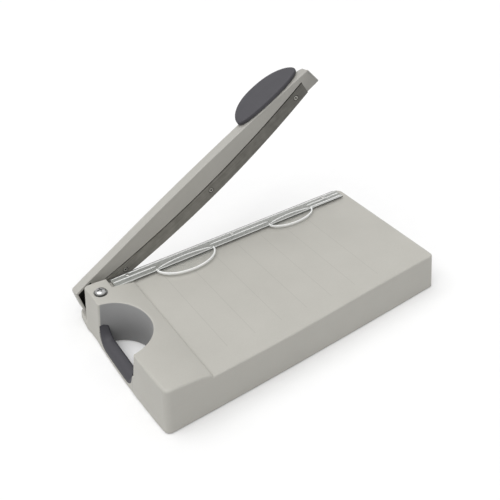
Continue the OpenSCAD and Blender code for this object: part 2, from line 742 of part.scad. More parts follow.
// Outline of the hand grip: distance across the arm of its inner and outer edges
pad_back = 57.5;
pad_mid = arm_len - pad_back;
pad_steps = 16;
pad_end = 0.985;
pad_tip_bend = 2.8;
pad_tail_bend = 2.3;
pad_tip_round = 0.52;
pad_tail_round = 0.62;
pad_least = 0.4;
function pad_t_of(i) = -cos(180 * i / pad_steps) * pad_end;
function pad_fall(t) = 1 - pow(abs(t), t > 0 ? pad_tip_bend : pad_tail_bend);
function pad_outer(t, d) =
    pad_in + (pad_w - pad_over - d) * pow(pad_fall(t), t > 0 ? pad_tip_round : pad_tail_round);
function pad_inner(t, d) = pad_in - (pad_over - d) * sqrt(pad_fall(t));
function pad_section(t, d, low, high, edge) =
    let (
        a = pad_mid + (pad_len / 2 - d) * t,
        y0 = pad_inner(t, d),
        y1 = max(pad_outer(t, d), y0 + 2 * edge + pad_least)
    )
    [[a, y0, top_h(a) + low], [a, y1, top_h(a) + low], [a, y1, top_h(a) + high - edge],
        [a, y1 - edge, top_h(a) + high], [a, y0 + edge, top_h(a) + high], [a, y0, top_h(a) + high - edge]];
shelf_t = 3.5;
shelf_inset = 2.5;
pad_edge = 1.2;
shelf_edge = 0.5;
pad_skin = 1;
pad_screw_out = 5;
pad_screw_reach = 18;
pad_screw_y = arm_out + pad_screw_out;
pad_screw_columns = [pad_mid - pad_screw_reach, pad_mid + pad_screw_reach];
cover_screw_near = 70;
cover_screw_mid = 185;
cover_screw_back = 53;
cover_screw_columns = [cover_screw_near, cover_screw_mid, arm_len - cover_screw_back];
cover_screw_up = 2;
function cover_screw_h(a) = blade_h(a, blade_top - blade_w / 2 + cover_screw_up);
blade_screw_near = 37;
blade_screw_mid = 166;
blade_screw_back = 32;
blade_screw_drop = 11;
blade_screw_columns = [blade_screw_near, blade_screw_mid, arm_len - blade_screw_back];
function blade_screw_h(a) = blade_h(a, blade_top - blade_screw_drop);
blade_screw_r = 1.6;
blade_head_r = 3.3;
blade_head_t = 1.2;
blade_screw_past = 2;

// Moulded arm: channel open below, cut back inside for the blade and round the hinge
module arm_cover() {
    color("gainsboro") on_arm() difference() {
        union() {
            arm_tray();
            loft([for (i = [0:pad_steps])
                pad_section(pad_t_of(i), shelf_inset, -shelf_t, -seat_gap, shelf_edge)]);
            for (a = cover_screw_columns)
                across_arm(a, bar_y1, arm_out - arm_wall / 2, cover_screw_h(a), boss_r);
        }
        across_arm(0, -cut_past, bar_y0, 0, spacer_r + arm_hole_gap);
        for (a = cover_screw_columns)
            across_arm(a, bar_y1 - cut_past, arm_out - arm_wall - cut_past, cover_screw_h(a), screw_r);
        for (a = pad_screw_columns)
            translate([a, pad_screw_y, 0]) cylinder(r = screw_r, h = 3 * arm_top);
    }
}

// Steel carrier bar inside the arm
bar_rise = 5;
bar_short = 3;
bar_low = blade_top - blade_w + bar_rise;
bar_a1 = blade_a1 - bar_short;
bar_boss_r = 11;
module arm_bar() {
    color("slategray") on_arm() difference() {
        union() {
            side_plate(bar_y0, bar_y1) polygon(concat(
                [for (i = [0:arm_steps]) let (a = bar_a1 * i / arm_steps) [a, blade_h(a, bar_low)]],
                [for (i = [arm_steps:-1:0])
                    let (a = bar_a1 * i / arm_steps) [a, top_h(a) - arm_wall - cut_past]]
            ));
            across_arm(0, bar_y0, bar_y1, 0, bar_boss_r);
        }
        across_arm(0, 0, bar_y1 + cut_past, 0, bush_r);
        for (a = blade_screw_columns) across_arm(a, 0, bar_y1 + cut_past, blade_screw_h(a), blade_screw_r);
        for (a = cover_screw_columns) {
            across_arm(a, 0, bar_y1 + cut_past, cover_screw_h(a), screw_r);
            across_arm(a, 0, bar_y0 + screw_head_h, cover_screw_h(a), screw_head_r);
        }
    }
}
module pivot_bush() {
    color("goldenrod") on_arm() difference() {
        union() {
            across_arm(0, bar_y0, bush_y1, 0, bush_r);
            across_arm(0, bar_y1, bush_y1, 0, bush_r + bush_flange);
        }
        across_arm(0, 0, bush_y1 + cut_past, 0, pin_r + run_gap);
    }
}

// Bowed cutting blade, screwed flat to the bar
module arm_blade() {
    color("gray") on_arm() difference() {
        side_plate(part_gap, bar_y0)
            polygon(blade_outline(blade_top, blade_top - blade_w, blade_a0, blade_a1, 2 * arm_steps));
        for (a = blade_screw_columns) {
            across_arm(a, 0, bar_y0 + cut_past, blade_screw_h(a), blade_screw_r);
            across_arm(a, 0, part_gap + blade_head_t, blade_screw_h(a), blade_head_r);
        }
    }
}
module blade_screws() {
    color("silver") on_arm() for (a = blade_screw_columns) {
        across_arm(a, part_gap, part_gap + blade_head_t, blade_screw_h(a), blade_head_r);
        across_arm(a, part_gap, bar_y1 + blade_screw_past, blade_screw_h(a), blade_screw_r);
    }
}
module cover_screws() {
    color("silver") on_arm() for (a = cover_screw_columns) {
        across_arm(a, bar_y0, bar_y0 + screw_head_h, cover_screw_h(a), screw_head_r);
        across_arm(a, bar_y0, arm_out - 2 * arm_wall, cover_screw_h(a), screw_r);
    }
}

// Soft D-shaped hand grip on the top of the arm
module hand_grip() {
    color("dimgray") on_arm() difference() {
        loft([for (i = [0:pad_steps]) pad_section(pad_t_of(i), 0, seat_gap, pad_t + seat_gap, pad_edge)]);
        for (a = pad_screw_columns)
            translate([a, pad_screw_y, 0]) cylinder(r = screw_r, h = top_h(a) + pad_t - pad_skin);
    }
}
module grip_screws() {
    color("silver") on_arm() for (a = pad_screw_columns) translate([a, pad_screw_y, 0]) {
        translate([0, 0, top_h(a) - shelf_t - screw_head_h - seat_gap])
            cylinder(r = screw_head_r, h = screw_head_h);
        translate([0, 0, top_h(a) - shelf_t - seat_gap])
            cylinder(r = screw_r, h = shelf_t + pad_t - pad_skin);
    }
}

base_shell();
bottom_plate();
bottom_screws();
rubber_feet();
carry_grip();
carry_grip_screws();
fixed_blade();
fixed_blade_screws();
hinge_bracket();
bracket_bolt();
bracket_washer();
bracket_nut();
pivot_pin();
pivot_spacer();
thrust_washer();
wave_washer();
pivot_nut();
clamp_posts();
paper_clamp();
clamp_springs();
arm_cover();
arm_bar();
pivot_bush();
arm_blade();
blade_screws();
cover_screws();
hand_grip();
grip_screws();
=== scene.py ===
# Looks of a guillotine paper trimmer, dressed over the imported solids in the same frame.
# Lengths are written in millimetres in the bed frame of the part: x runs along the cut from the
# paper stop, y = 0 is the cutting plane with the bed at negative y, and z = 0 is the table.
import math

import bmesh
import bpy
import numpy as np
from mathutils.geometry import delaunay_2d_cdt
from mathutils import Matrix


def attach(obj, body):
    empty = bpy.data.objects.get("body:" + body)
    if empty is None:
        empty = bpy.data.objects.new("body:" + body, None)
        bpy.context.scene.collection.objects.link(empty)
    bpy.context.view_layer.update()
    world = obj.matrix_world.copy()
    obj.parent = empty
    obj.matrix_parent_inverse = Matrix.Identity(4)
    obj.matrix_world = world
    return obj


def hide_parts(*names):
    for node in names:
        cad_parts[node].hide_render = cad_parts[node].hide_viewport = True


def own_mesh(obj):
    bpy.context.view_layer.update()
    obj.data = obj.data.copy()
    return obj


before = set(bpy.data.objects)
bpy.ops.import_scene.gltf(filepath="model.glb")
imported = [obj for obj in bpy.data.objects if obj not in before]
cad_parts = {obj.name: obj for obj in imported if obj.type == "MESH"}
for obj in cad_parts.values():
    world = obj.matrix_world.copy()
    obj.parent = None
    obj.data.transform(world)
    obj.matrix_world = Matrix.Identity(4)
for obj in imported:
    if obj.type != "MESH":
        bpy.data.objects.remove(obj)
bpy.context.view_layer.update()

# Base housing: one hollow moulding in light grey ABS that carries the bed, the paper stop, the
# raised end with its carry hole and the low plinth under the hinge. It is drawn straight up out of
# its tool, so the walls lean a little, and every outer edge is rounded.
bed_z, table_z, cover_room_z, hidden_foot_z = 46.7, 1.0, 3.3, 3.2
end_x, end_y = -57.0, -78.5  # where the left wall bows out most
front_foot_y, rear_y = -184.94, -0.6
ear_x, ear_y, slot_y = -25.5, -7.0, -22.6
front_left_r, front_right_r, rear_right_r, ear_r = 7.0, 4.95, 9.0, 4.2
wall_t, thin_t = 2.5, 0.3
hole_x, hole_y, hole_r = -53.4, -81.6, 39.0
mouth_round = 3.0
knife_x0, knife_x1, knife_y, knife_seat_z = -24.7, 295.0, -6.0, 43.68
post_x, post_y = np.array([-2.0, 133.0, 270.0]), -10.5
pocket_r, pocket_z = 3.8, 40.7
bolt_x, bolt_y, bolt_seat_r, bolt_seat = -40.0, -26.0, 7.5, 0.8
plinth_y, plinth_z, plinth_front = 16.0, 9.45, -16.0
bridge_z, bridge_x, bridge_ends = 4.7, -43.5, (-40.0, -125.0)
# the rounded brow of the paper stop: distance back from the stop, drop below the crown
brow = np.array([[0.25, 0.75], [0.35, 0.35], [0.62, 0.10], [1.00, 0.0]])


def row(points):
    """Bed millimetres to metres in the row frame: the middle of the footprint is the origin."""
    return (np.asarray(points, float) - [125.9927, -73.5, 0.0]) / 1000.0


def build(name, points, faces, crease=32, **values):
    """Closed mesh from points in bed millimetres, faces turned outwards, edges flatter than crease
    smooth. Values are named numbers, one a point, that a material can read."""
    mesh = bpy.data.meshes.new(name)
    mesh.from_pydata(row(points).tolist(), [], faces)
    for key, numbers in values.items():
        layer = mesh.attributes.new(key, "FLOAT", "POINT")
        layer.data.foreach_set("value", np.asarray(numbers, np.float32))
    work = bmesh.new()
    work.from_mesh(mesh)
    bmesh.ops.remove_doubles(work, verts=work.verts, dist=1e-7)
    bmesh.ops.recalc_face_normals(work, faces=work.faces)
    work.to_mesh(mesh)
    work.free()
    mesh.shade_smooth()
    mesh.set_sharp_from_angle(angle=math.radians(crease))
    piece = bpy.data.objects.new(name, mesh)
    bpy.context.scene.collection.objects.link(piece)
    return piece


def stack(*axes):
    """Points from their places along each axis, where one number stands for all."""
    return np.stack(np.broadcast_arrays(*axes), -1)


def band(rows, columns, start=0, closed=True):
    """Quads between neighbours of a grid of points, the last column joined to the first when closed."""
    r, c = np.meshgrid(np.arange(rows - 1), np.arange(columns if closed else columns - 1), indexing="ij")
    here, beside = r * columns + c, r * columns + (c + 1) % columns
    quads = stack(here, beside, beside + columns, here + columns)
    return (quads.reshape(-1, 4) + start).tolist()


def shifted(faces, start):
    """Faces whose points come later in the mesh."""
    return [[start + i for i in face] for face in faces]


def fill(loop, lines=(), loose=np.zeros((0, 2))):
    """Triangles over a plan: its closed outline, lines that edges must follow, loose points. A line is
    (points, indices of its points in the outline or -1, closed). Returns all points and faces."""
    count = len(loop)
    points, edges = [loop], [[i, (i + 1) % count] for i in range(count)]
    for line, shared, closed in lines:
        new = shared < 0
        ids = np.where(new, count + np.cumsum(new) - 1, shared)
        points.append(line[new])
        count += int(new.sum())
        edges += stack(ids[:-1], ids[1:]).tolist()
        edges += [[int(ids[-1]), int(ids[0])]] if closed else []
    points = np.vstack(points + [loose])
    _, _, faces, origin, _, _ = delaunay_2d_cdt([tuple(p) for p in points.tolist()], edges, [], 1, 1e-6)
    return points, [[origin[i][0] for i in face] for face in faces]


def steps(first, last, count, ends=True):
    """Even steps from first to last, where each step may have its own first and last."""
    return first + (last - first) * np.linspace(0, 1, count, endpoint=ends)


def arc(x, y, r, turn):
    """Points on a circle in the plan, at the angles turn."""
    return stack(x + r * np.cos(turn), y + r * np.sin(turn))


def corner_arc(x, y, r, start, count):
    """Quarter circle of a rounded upright corner from the angle start, in degrees."""
    return arc(x, y, r, np.radians(start + np.linspace(0, 90, count)))


def ring_of(x, y, r, count):
    """Whole circle in the plan."""
    return arc(x, y, r, np.linspace(0, 2 * np.pi, count, endpoint=False))


def ease(share):
    """Smooth step from 0 to 1, flat at both ends."""
    share = np.clip(share, 0, 1)
    return share ** 2 * (3 - 2 * share)


def left_x(y, z):
    """Bowed and leaning left wall, straighter towards the ear, flatter and steeper towards the front."""
    straight = 2.6 * np.clip((y + 36.0) / 24.0, 0, 1) ** 2
    bow = np.where(y < end_y, 3.1, 5.0) * ((y - end_y) / 91.5) ** 2
    lean = 4.5 - 1.4 * ease((end_y - y) / 60.0)
    return end_x + bow - straight + lean * z / bed_z


def front_y(x, z):
    """Front wall: its foot swings back towards the right end, and its lean grows from 1 to 4.4 mm."""
    lean = 2.7 + 1.7 * np.tanh((x - 150.0) / 55.0)
    return front_foot_y + 12.5 * (np.maximum(x - end_x, 0) / 362.0) ** 1.5 + lean * z / bed_z


def right_x(z):
    """Leaning right wall."""
    return 305.0 + 5.5 * (1 - z / bed_z)


def crown_z(x):
    """Raised end: a parabola from the paper stop up to its crest and over."""
    return 49.7 + 7.0 * (1 - ((x + 45.0) / 45.0) ** 2)


def hole_at(z):
    """Carry hole, wider and further forward towards its top: its middle's x and y and its radius."""
    up = (z - 18.0) / 37.0
    return hole_x - 1.6 * up, hole_y - 2.0 * up, hole_r + 1.9 * up


def mouth_y(z, side):
    """Where the carry hole cuts the left wall, by stepping y and the wall's place in turn."""
    x, middle, r = hole_at(z)
    y = middle + side * (r - 0.2)
    for _ in range(6):
        y = middle + side * np.sqrt(r ** 2 - (left_x(y, z) - x) ** 2)
    return y


# stretches of the outline and their points: 0 brow at the ear, 1 ear's rear, 2 its corner, 3 left wall,
# 4 mouth corner, 5 hole, 6 mouth corner, 7 left wall, 8 corner, 9 front of the raised end, 10 brow,
# 11 front of the bed, 12 corner, 13 right wall, 14 corner, 15 rear, 16 to 18 knife's seat, 19, 20 jog
plan_counts = [4, 8, 10, 14, 8, 52, 8, 12, 14, 16, 4, 36, 9, 10, 12, 3, 2, 26, 2, 2, 2]
s = np.append(0, np.cumsum(plan_counts))
plan_size = int(s[-1])


def housing_plan(z):
    """Outline of the housing, counter-clockwise from the ear's rear, each point at its own height z."""
    part = np.split(z, s[1:-1])
    ear_back, rear_back = ear_y - ear_r, rear_y - rear_right_r
    brow_x = np.append(-brow[2::-1, 0], 0.0)

    def hole_turn(k, side):
        """Angle in the carry hole where the rounding of its mouth ends."""
        x, y, r = hole_at(part[k])
        at = mouth_y(part[k], side)
        return np.arctan2(at - y, left_x(at, part[k]) - x) - side * mouth_round / r

    def mouth_corner(k, side):
        """Quadratic curve from the left wall into the hole, or back."""
        at = mouth_y(part[k], side)
        beyond = at + side * mouth_round
        t = np.arange(1, 9)[::side, None] / 9.0
        return ((1 - t) ** 2 * stack(left_x(beyond, part[k]), beyond)
                + 2 * t * (1 - t) * stack(left_x(at, part[k]), at)
                + t ** 2 * arc(*hole_at(part[k]), hole_turn(k, side)))

    def left_wall(k, first, last, ends=True):
        y = steps(first, last, plan_counts[k], ends)
        return stack(left_x(y, part[k]), y)

    def front_wall(k, first, last, ends=True):
        x = steps(first, last, plan_counts[k], ends)
        return stack(x, front_y(x, part[k]))

    def front_left_y(k):
        return front_y(end_x + front_left_r, part[k]) + front_left_r

    def front_left_x(k):
        return left_x(front_left_y(k), part[k]) + front_left_r

    def front_right_y(k):
        return front_y(right_x(part[k]) - front_right_r, part[k]) + front_right_r

    return np.vstack([
        stack(ear_x - brow[:, 0], ear_y),
        stack(steps(-28.0, left_x(ear_back, part[1]) + ear_r, 8, False), ear_y),
        corner_arc(left_x(ear_back, part[2]) + ear_r, ear_back, ear_r, 90, 10),
        left_wall(3, -12.5, mouth_y(part[3], 1) + mouth_round),
        mouth_corner(4, 1),
        arc(*hole_at(part[5]), steps(hole_turn(5, 1), hole_turn(5, -1), 52)),
        mouth_corner(6, -1),
        left_wall(7, mouth_y(part[7], -1) - mouth_round, front_left_y(7), False),
        corner_arc(front_left_x(8), front_left_y(8), front_left_r, 180, 14),
        front_wall(9, front_left_x(9) + 1.5, -brow[3, 0]),
        stack(brow_x, front_y(brow_x, part[10])),
        front_wall(11, 3.0, right_x(part[11]) - front_right_r, False),
        corner_arc(right_x(part[12]) - front_right_r, front_right_y(12), front_right_r, 270, 9),
        stack(right_x(part[13]), steps(front_right_y(13) + 2.0, rear_back - 2.0, 10)),
        corner_arc(right_x(part[14]) - rear_right_r, rear_back, rear_right_r, 0, 12),
        stack(steps(right_x(part[15]) - rear_right_r - 0.2, knife_x1 + 0.3, 3), rear_y),
        stack([knife_x1, knife_x1 - 0.05], rear_y),
        stack(steps(knife_x1 - 6, knife_x0 + 6, 26), rear_y),
        stack([knife_x0 + 0.05, knife_x0], rear_y),
        stack(ear_x, [rear_y, -3.0]),
        stack(ear_x, [-5.5, ear_y])])


def walled(plan_of, top, foot, edge_r, rim, room):
    """Wall of a moulding carried round its plan: inner rim, foot, leaning wall, rounded top edge and one
    more ring that keeps the rounding off the flat. Returns the grid of rows of points."""
    lowest = plan_of(np.full(len(top), top.min()))
    along = np.roll(lowest, -1, 0) - np.roll(lowest, 1, 0)
    along /= np.linalg.norm(along, axis=1)[:, None]
    into = stack(-along[:, 1], along[:, 0])
    foot_round = 0.4
    wall_foot, shoulder = foot + foot_round, top - edge_r - 1.2
    levels = [(foot + room, rim), (foot, rim), (foot, np.minimum(rim, foot_round)), (wall_foot, 0 * rim)]
    levels += [(wall_foot + (shoulder - wall_foot) * share, 0 * rim) for share in (0.15, 0.4, 0.7, 0.9, 1.0)]
    levels += [(top - edge_r * (1 - np.sin(turn)), edge_r * (1 - np.cos(turn)))
               for turn in np.radians(np.linspace(0, 90, 7))]
    levels += [(top, edge_r + np.minimum(edge_r, 0.9))]
    return np.array([np.column_stack([plan_of(z) + into * inset[:, None], z]) for z, inset in levels])


def inside(points, loop):
    """True where a point lies inside a closed plan, by counting the edges to its right."""
    (ax, ay), (bx, by) = loop.T[:, :, None], np.roll(loop, -1, 0).T[:, :, None]
    x, y = points.T[:, None]
    with np.errstate(divide="ignore", invalid="ignore"):
        cross = ax + (y - ay) * (bx - ax) / (by - ay)
    return (((ay > y) != (by > y)) & (x < cross)).sum(0) % 2 == 1


drop = np.zeros(plan_size)
drop[s[0]:s[1]] = brow[:, 1]
drop[s[10]:s[10] + 3] = brow[2::-1, 1]
level = np.zeros(plan_size)
level[s[11] - 1:] = bed_z
level[s[16] + 1:s[18] + 1] = knife_seat_z
top = np.where(level > 0, level, 50.0)
for _ in range(5):
    top = np.where(level > 0, level, crown_z(housing_plan(top)[:, 0]) - drop)
edge_r = np.full(plan_size, 1.9)
quarter = np.pi / 2
for first, last, radius in (
        (4, 7, 0.9), (5, 6, 1.1), (1, 3, 1.6), (3, 4, 0.9 + 0.7 * np.sin(np.linspace(quarter, 0, 14))),
        (7, 8, 0.9 + 1.9 * np.sin(np.linspace(0, quarter, 12))), (8, 9, 2.8),
        (9, 10, np.linspace(2.8, 1.9, 16)), (14, 15, np.linspace(1.9, 0.5, 12)), (15, 21, 0.05),
        (15, 16, 0.4), (0, 1, [0.3, 0.4, 0.7, 1.0]), (19, 21, 0.25)):
    edge_r[s[first]:s[last]] = radius
foot = np.full(plan_size, table_z)
foot[s[19] + 1:] = foot[:s[3]] = hidden_foot_z
rim = np.full(plan_size, wall_t)
rim[s[3]:s[8]] = 1.2
rim[s[18]:] = rim[:s[3]] = thin_t
wall_rows = walled(housing_plan, top, foot, edge_r, rim, cover_room_z - foot)
loop = wall_rows[-1][:, :2]

# lines over the top: the paper stop and clamp slot, the knife's seat, spring pockets, the bolt's seat
lines, heights = [], []


def open_line(first, between, last):
    """Adds a line over the top from one point of the outline to another."""
    ids = np.full(len(between) + 2, -1)
    ids[0], ids[-1] = first, last
    lines.append((np.vstack([loop[[first]], between, loop[[last]]]), ids, False))


for k, (back, fall) in enumerate(np.vstack([[0.0, 0.0], brow]), -1):
    front_id = s[10] + 3 if k < 0 else (s[10] - 1 if k == 3 else s[10] + 2 - k)
    between = np.vstack([
        stack(-back, np.linspace(loop[front_id, 1] + 1.0, slot_y - back, 26)),
        stack(np.linspace(-back, ear_x - back, 12)[1:], slot_y - back),
        stack(ear_x - back, np.linspace(slot_y - back, ear_y - 3.2, 5)[1:])])
    open_line(front_id, between, s[21] - 1 if k < 0 else k)
    heights.append(np.where(back > 0, crown_z(between[:, 0]) - fall, bed_z))
for inset, z, first, last in ((0.0, bed_z, s[16], s[19] - 1), (0.05, knife_seat_z, s[16] + 1, s[19] - 2)):
    open_line(first, stack(np.linspace(knife_x1 - inset, knife_x0 + inset, 40), knife_y + inset), last)
    heights.append(np.full(40, z))
seat_z = crown_z(bolt_x) - bolt_seat
for x, y, r, z_out, z_in in [(x, post_y, pocket_r, bed_z, pocket_z) for x in post_x] + [
        (bolt_x, bolt_y, bolt_seat_r, None, seat_z)]:
    for radius, z in ((r, z_out), (r - 0.06, z_in)):
        circle = ring_of(x, y, radius, 40)
        lines.append((circle, np.full(40, -1), True))
        heights.append(crown_z(circle[:, 0]) if z is None else np.full(40, z))
# loose points over the raised end, clear of every line
clear = 1.6
gx, gy = np.meshgrid(np.arange(-54.0, -2.0, 3.2), np.arange(-180.0, -8.0, 5.0), indexing="ij")
loose = stack(gx.ravel(), gy.ravel())
marks = np.vstack([loop] + [line[0] for line in lines])
loose = loose[inside(loose, loop) & (np.linalg.norm(loose[:, None] - marks[None], axis=2).min(1) > clear)]
loose = loose[(loose[:, 0] < ear_x - clear) | (loose[:, 1] < slot_y - clear)]
loose = loose[np.hypot(loose[:, 0] - bolt_x, loose[:, 1] - bolt_y) > bolt_seat_r + 1]
plan, cap = fill(loop, lines, loose)
cap_z = np.hstack([wall_rows[-1][:, 2]] + heights + [crown_z(loose[:, 0])])
wall_points = wall_rows.reshape(-1, 3)
base_points = np.vstack([wall_points, np.column_stack([plan, cap_z])[plan_size:]])
# the cap's outline is the last row of the wall, and its other points follow the wall's
base_faces = band(len(wall_rows), plan_size) + shifted(cap, len(wall_points) - plan_size)
base_faces += fill(wall_rows[0][:, :2])[1]


def plinth_plan(z):
    """Low foot behind the ear: the left wall carried on, a round corner, a straight rear and right side."""
    r, tight = 9.0, 3.0
    back = plinth_y - r
    y = steps(back - 1, plinth_front, 10)
    return np.vstack([
        corner_arc(ear_x - tight, plinth_y - tight, tight, 0, 7),
        stack(steps(ear_x - 4.0, left_x(back, z[7:15]) + r, 8, False), plinth_y),
        corner_arc(left_x(back, z[15:27]) + 0.03 + r, back, r, 90, 12),
        stack(left_x(y, z[27:37]) + 0.03, y),
        stack(steps(-48.0, ear_x - 0.5, 6), plinth_front),
        stack(ear_x, steps(plinth_front + 2.0, plinth_y - 4.0, 6))])


def bridge_plan(z):
    """Low bar of the left wall under the carry grip, its ends sunk in the walls of the hole."""
    y = steps(*bridge_ends, 30)
    return np.vstack([stack(left_x(y, z[:30]) + 0.06, y), stack(bridge_x, steps(*bridge_ends[::-1], 30))])


# skin of the left wall outside the grip: quarter circles fill the mouth's lower corners
skin_y = np.hstack([np.linspace(*ends) for ends in ((-40, -57, 22), (-59, -106, 24), (-108, -125, 22))])
skin_r, skin_turn = 15.2, 15.0
past = np.abs(skin_y - hole_y) - np.where(skin_y < hole_y, 22.2, 23.5)
skin_z = 4.75 + skin_r - np.sqrt(skin_r ** 2 - np.clip(past, 0, skin_turn) ** 2)
skin_z += np.clip(4.0 * (past - skin_turn), 0, 8.0)


def skin_plan(z):
    """The left wall's own line and back along it 1.1 mm further in."""
    out, back = np.split(z, 2)
    return np.vstack([
        stack(left_x(skin_y, out) + 0.03, skin_y), stack(left_x(skin_y, back[::-1]) + 1.13, skin_y)[::-1]])


for plan_of, size, crest, round_r, room, hidden in (
        (plinth_plan, 49, plinth_z, 1.2, 2.3, slice(37, 44)), (bridge_plan, 60, bridge_z, 0.4, 0.0, slice(0)),
        (skin_plan, 136, np.append(skin_z, skin_z[::-1]), 0.2, 0.0, slice(0))):
    ground = np.full(size, table_z)
    ground[hidden] = hidden_foot_z
    thick = np.full(size, wall_t if room else thin_t)
    thick[hidden] = thin_t
    rows = walled(plan_of, np.zeros(size) + crest, ground, np.full(size, round_r), thick,
                  np.where(ground > table_z, 0.1, room))
    start = len(base_points)
    base_points = np.vstack([base_points, rows.reshape(-1, 3)])
    base_faces += band(len(rows), size, start)
    base_faces += shifted(fill(rows[-1][:, :2])[1], start + (len(rows) - 1) * size)
    base_faces += shifted(fill(rows[0][:, :2])[1], start)
base_housing = build("base_housing", base_points, base_faces)


def colour(written):
    """sRGB hex to linear colour with full cover."""
    c = np.array([int(written[i:i + 2], 16) for i in (1, 3, 5)]) / 255.0
    return (*np.where(c <= 0.04045, c / 12.92, ((c + 0.055) / 1.055) ** 2.4), 1.0)


def plug(socket, value):
    """Links a socket to another, or sets its constant; a text is a colour in hex."""
    if isinstance(value, bpy.types.NodeSocket):
        socket.id_data.links.new(socket, value)
    else:
        socket.default_value = colour(value) if isinstance(value, str) else value


def add(tree, kind, inputs=(), **settings):
    """One node with its settings, and its inputs by number or name."""
    node = tree.nodes.new("ShaderNode" + kind)
    for name, value in settings.items():
        setattr(node, name, value)
    for place, value in dict(inputs).items():
        plug(node.inputs[place], value)
    return node


def calc(operation, *terms):
    """Result of a sum over a socket and more sockets or numbers."""
    return add(terms[0].id_data, "Math", enumerate(terms), operation=operation).outputs[0]


def ramp(value, *limits):
    """Value carried from one range, its first two limits, to another, 0 to 1 or the last two."""
    return add(value.id_data, "MapRange", enumerate((value, *limits))).outputs[0]


def mix(factor, first, second):
    """Colour between two colours."""
    return add(factor.id_data, "Mix", {0: factor, 6: first, 7: second}, data_type="RGBA").outputs[2]


def blend(factor, first, second):
    """Number between two numbers."""
    return add(first.id_data, "Mix", {0: factor, 2: first, 3: second}, data_type="FLOAT").outputs[0]


def scaled(tone, factor):
    """Colour made deeper or paler by a factor."""
    return add(tone.id_data, "VectorMath", {0: tone, "Scale": factor}, operation="SCALE").outputs[0]


def noise(at, size, detail, roughness=0.5):
    """Clouds of about the given size in millimetres."""
    settings = {"Vector": at, "Scale": 1000 / size, "Detail": detail, "Roughness": roughness}
    return add(at.id_data, "TexNoise", settings).outputs["Fac"]


def bumped(height, strength, depth):
    """Normal over a height of the given depth in millimetres."""
    settings = {"Height": height, "Strength": strength, "Distance": depth / 1000}
    return add(height.id_data, "Bump", settings).outputs["Normal"]


def read(tree, name):
    """Number that a mesh carries at its points."""
    return add(tree, "Attribute", attribute_name=name).outputs["Fac"]


def started(name):
    """New material with its tree and the Object coordinates."""
    material = bpy.data.materials.new(name)
    material.use_nodes = True
    tree = material.node_tree
    return material, tree, add(tree, "TexCoord").outputs["Object"]


def finished(material, **inputs):
    """Sets or links inputs of the material's one Principled shader, and returns the material."""
    main = material.node_tree.nodes["Principled BSDF"]
    for name, value in inputs.items():
        plug(main.inputs[name.replace("_", " ")], value)
    return material


def moulded_abs(name, pale, deep, base):
    """ABS moulded against a spark-eroded tool: a low sheen broken by fine grain, with faint flow clouds.
    The real grain is about 0.3 mm, and is drawn at 1.1 mm so that it shows. On the base come the bed's
    lines and the carry hole's wall in a neutral, darker grey that is partly painted shade, with painted
    shade deeper towards its foot. On the arm comes painted shade: a deeper tone towards the tip and a
    near-black inside."""
    material, tree, at = started(name)
    x, y, z = add(tree, "SeparateXYZ", {0: at}).outputs
    grain = noise(at, 1.1, 2.0, 0.6)
    clouds = calc("ADD", noise(at, 45.0, 3.0), grain)
    tone = mix(ramp(clouds, 0.6, 1.4), deep, pale)
    if base:
        # sheet marks across the bed, drawn as darker lines 0.5 mm wide
        mark_gap = 0.0327
        turns = calc("MULTIPLY_ADD", x, 1 / mark_gap, -row([0, 0, 0])[0] / mark_gap)
        mark = ramp(calc("PINGPONG", turns, 0.5), 0.006, 0.013, 1.0, 0.0)
        for place, middle, half in ((x, 0.0065, 0.120), (y, -0.0185, 0.0655), (z, bed_z / 1000, 0.0004)):
            mark = calc("MULTIPLY", mark, calc("COMPARE", place, middle, half))
        tone = mix(calc("MULTIPLY", mark, 0.3), tone, "#8E8D87")
        # the hole's wall, up to its rounded rim, by distance from the hole's leaning axis: a darker grey,
        # partly painted shade, with painted shade that deepens towards its foot
        axis_x, axis_y, foot_r = hole_at(0.0)
        gain_x, gain_y, gain_r = np.subtract(hole_at(1.0), hole_at(0.0))
        upright = add(tree, "CombineXYZ", enumerate((
            calc("MULTIPLY_ADD", z, -gain_x, x), calc("MULTIPLY_ADD", z, -gain_y, y)))).outputs[0]
        away = add(tree, "VectorMath", {0: upright, 1: row([axis_x, axis_y, 0])}, operation="DISTANCE")
        away = calc("MULTIPLY_ADD", z, -gain_r, away.outputs["Value"])
        hole_wall_painted_shade = mix(ramp(z, 0.015, 0.050), "#838383", "#9A9A9A")
        tone = mix(calc("COMPARE", away, foot_r / 1000, 0.00015), tone, hole_wall_painted_shade)
    else:
        # painted shade: a little deeper in tone towards the tip, and almost black inside the channel
        tone = scaled(tone, ramp(x, -0.06, 0.13, 1.0, 0.86))
        tone = mix(read(tree, "inner_face"), tone, "#2F2E2C")
    return finished(material, IOR=1.53, Base_Color=tone, Normal=bumped(grain, 0.12, 0.2),
                    Roughness=ramp(grain, 0.3, 0.7, 0.46, 0.6))


base_housing.data.materials.append(moulded_abs("moulded_abs_bed_grey", "#B9B7B0", "#B1AFA8", True))
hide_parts("base_shell")
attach(base_housing, "base")

# Cover plate, its screws and the rubber feet close the housing from below. The plate is a plain dark
# ABS moulding, the screws are zinc plated, and the feet are die-cut rubber discs that are glued on.


def dress(node, material):
    """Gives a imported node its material."""
    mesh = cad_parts[node].data
    mesh.materials.clear()
    mesh.materials.append(material)


def plated_metal(name, pale, deep, smooth, rough, size=4.0, detail=4.0):
    """Plated or bare metal: bright and a little cloudy, with reflections that are soft where it is rough."""
    material, _, at = started(name)
    cloud = noise(at, size, detail)
    return finished(material, Metallic=1.0, Base_Color=mix(cloud, deep, pale),
                    Roughness=ramp(cloud, 0, 1, smooth, rough))


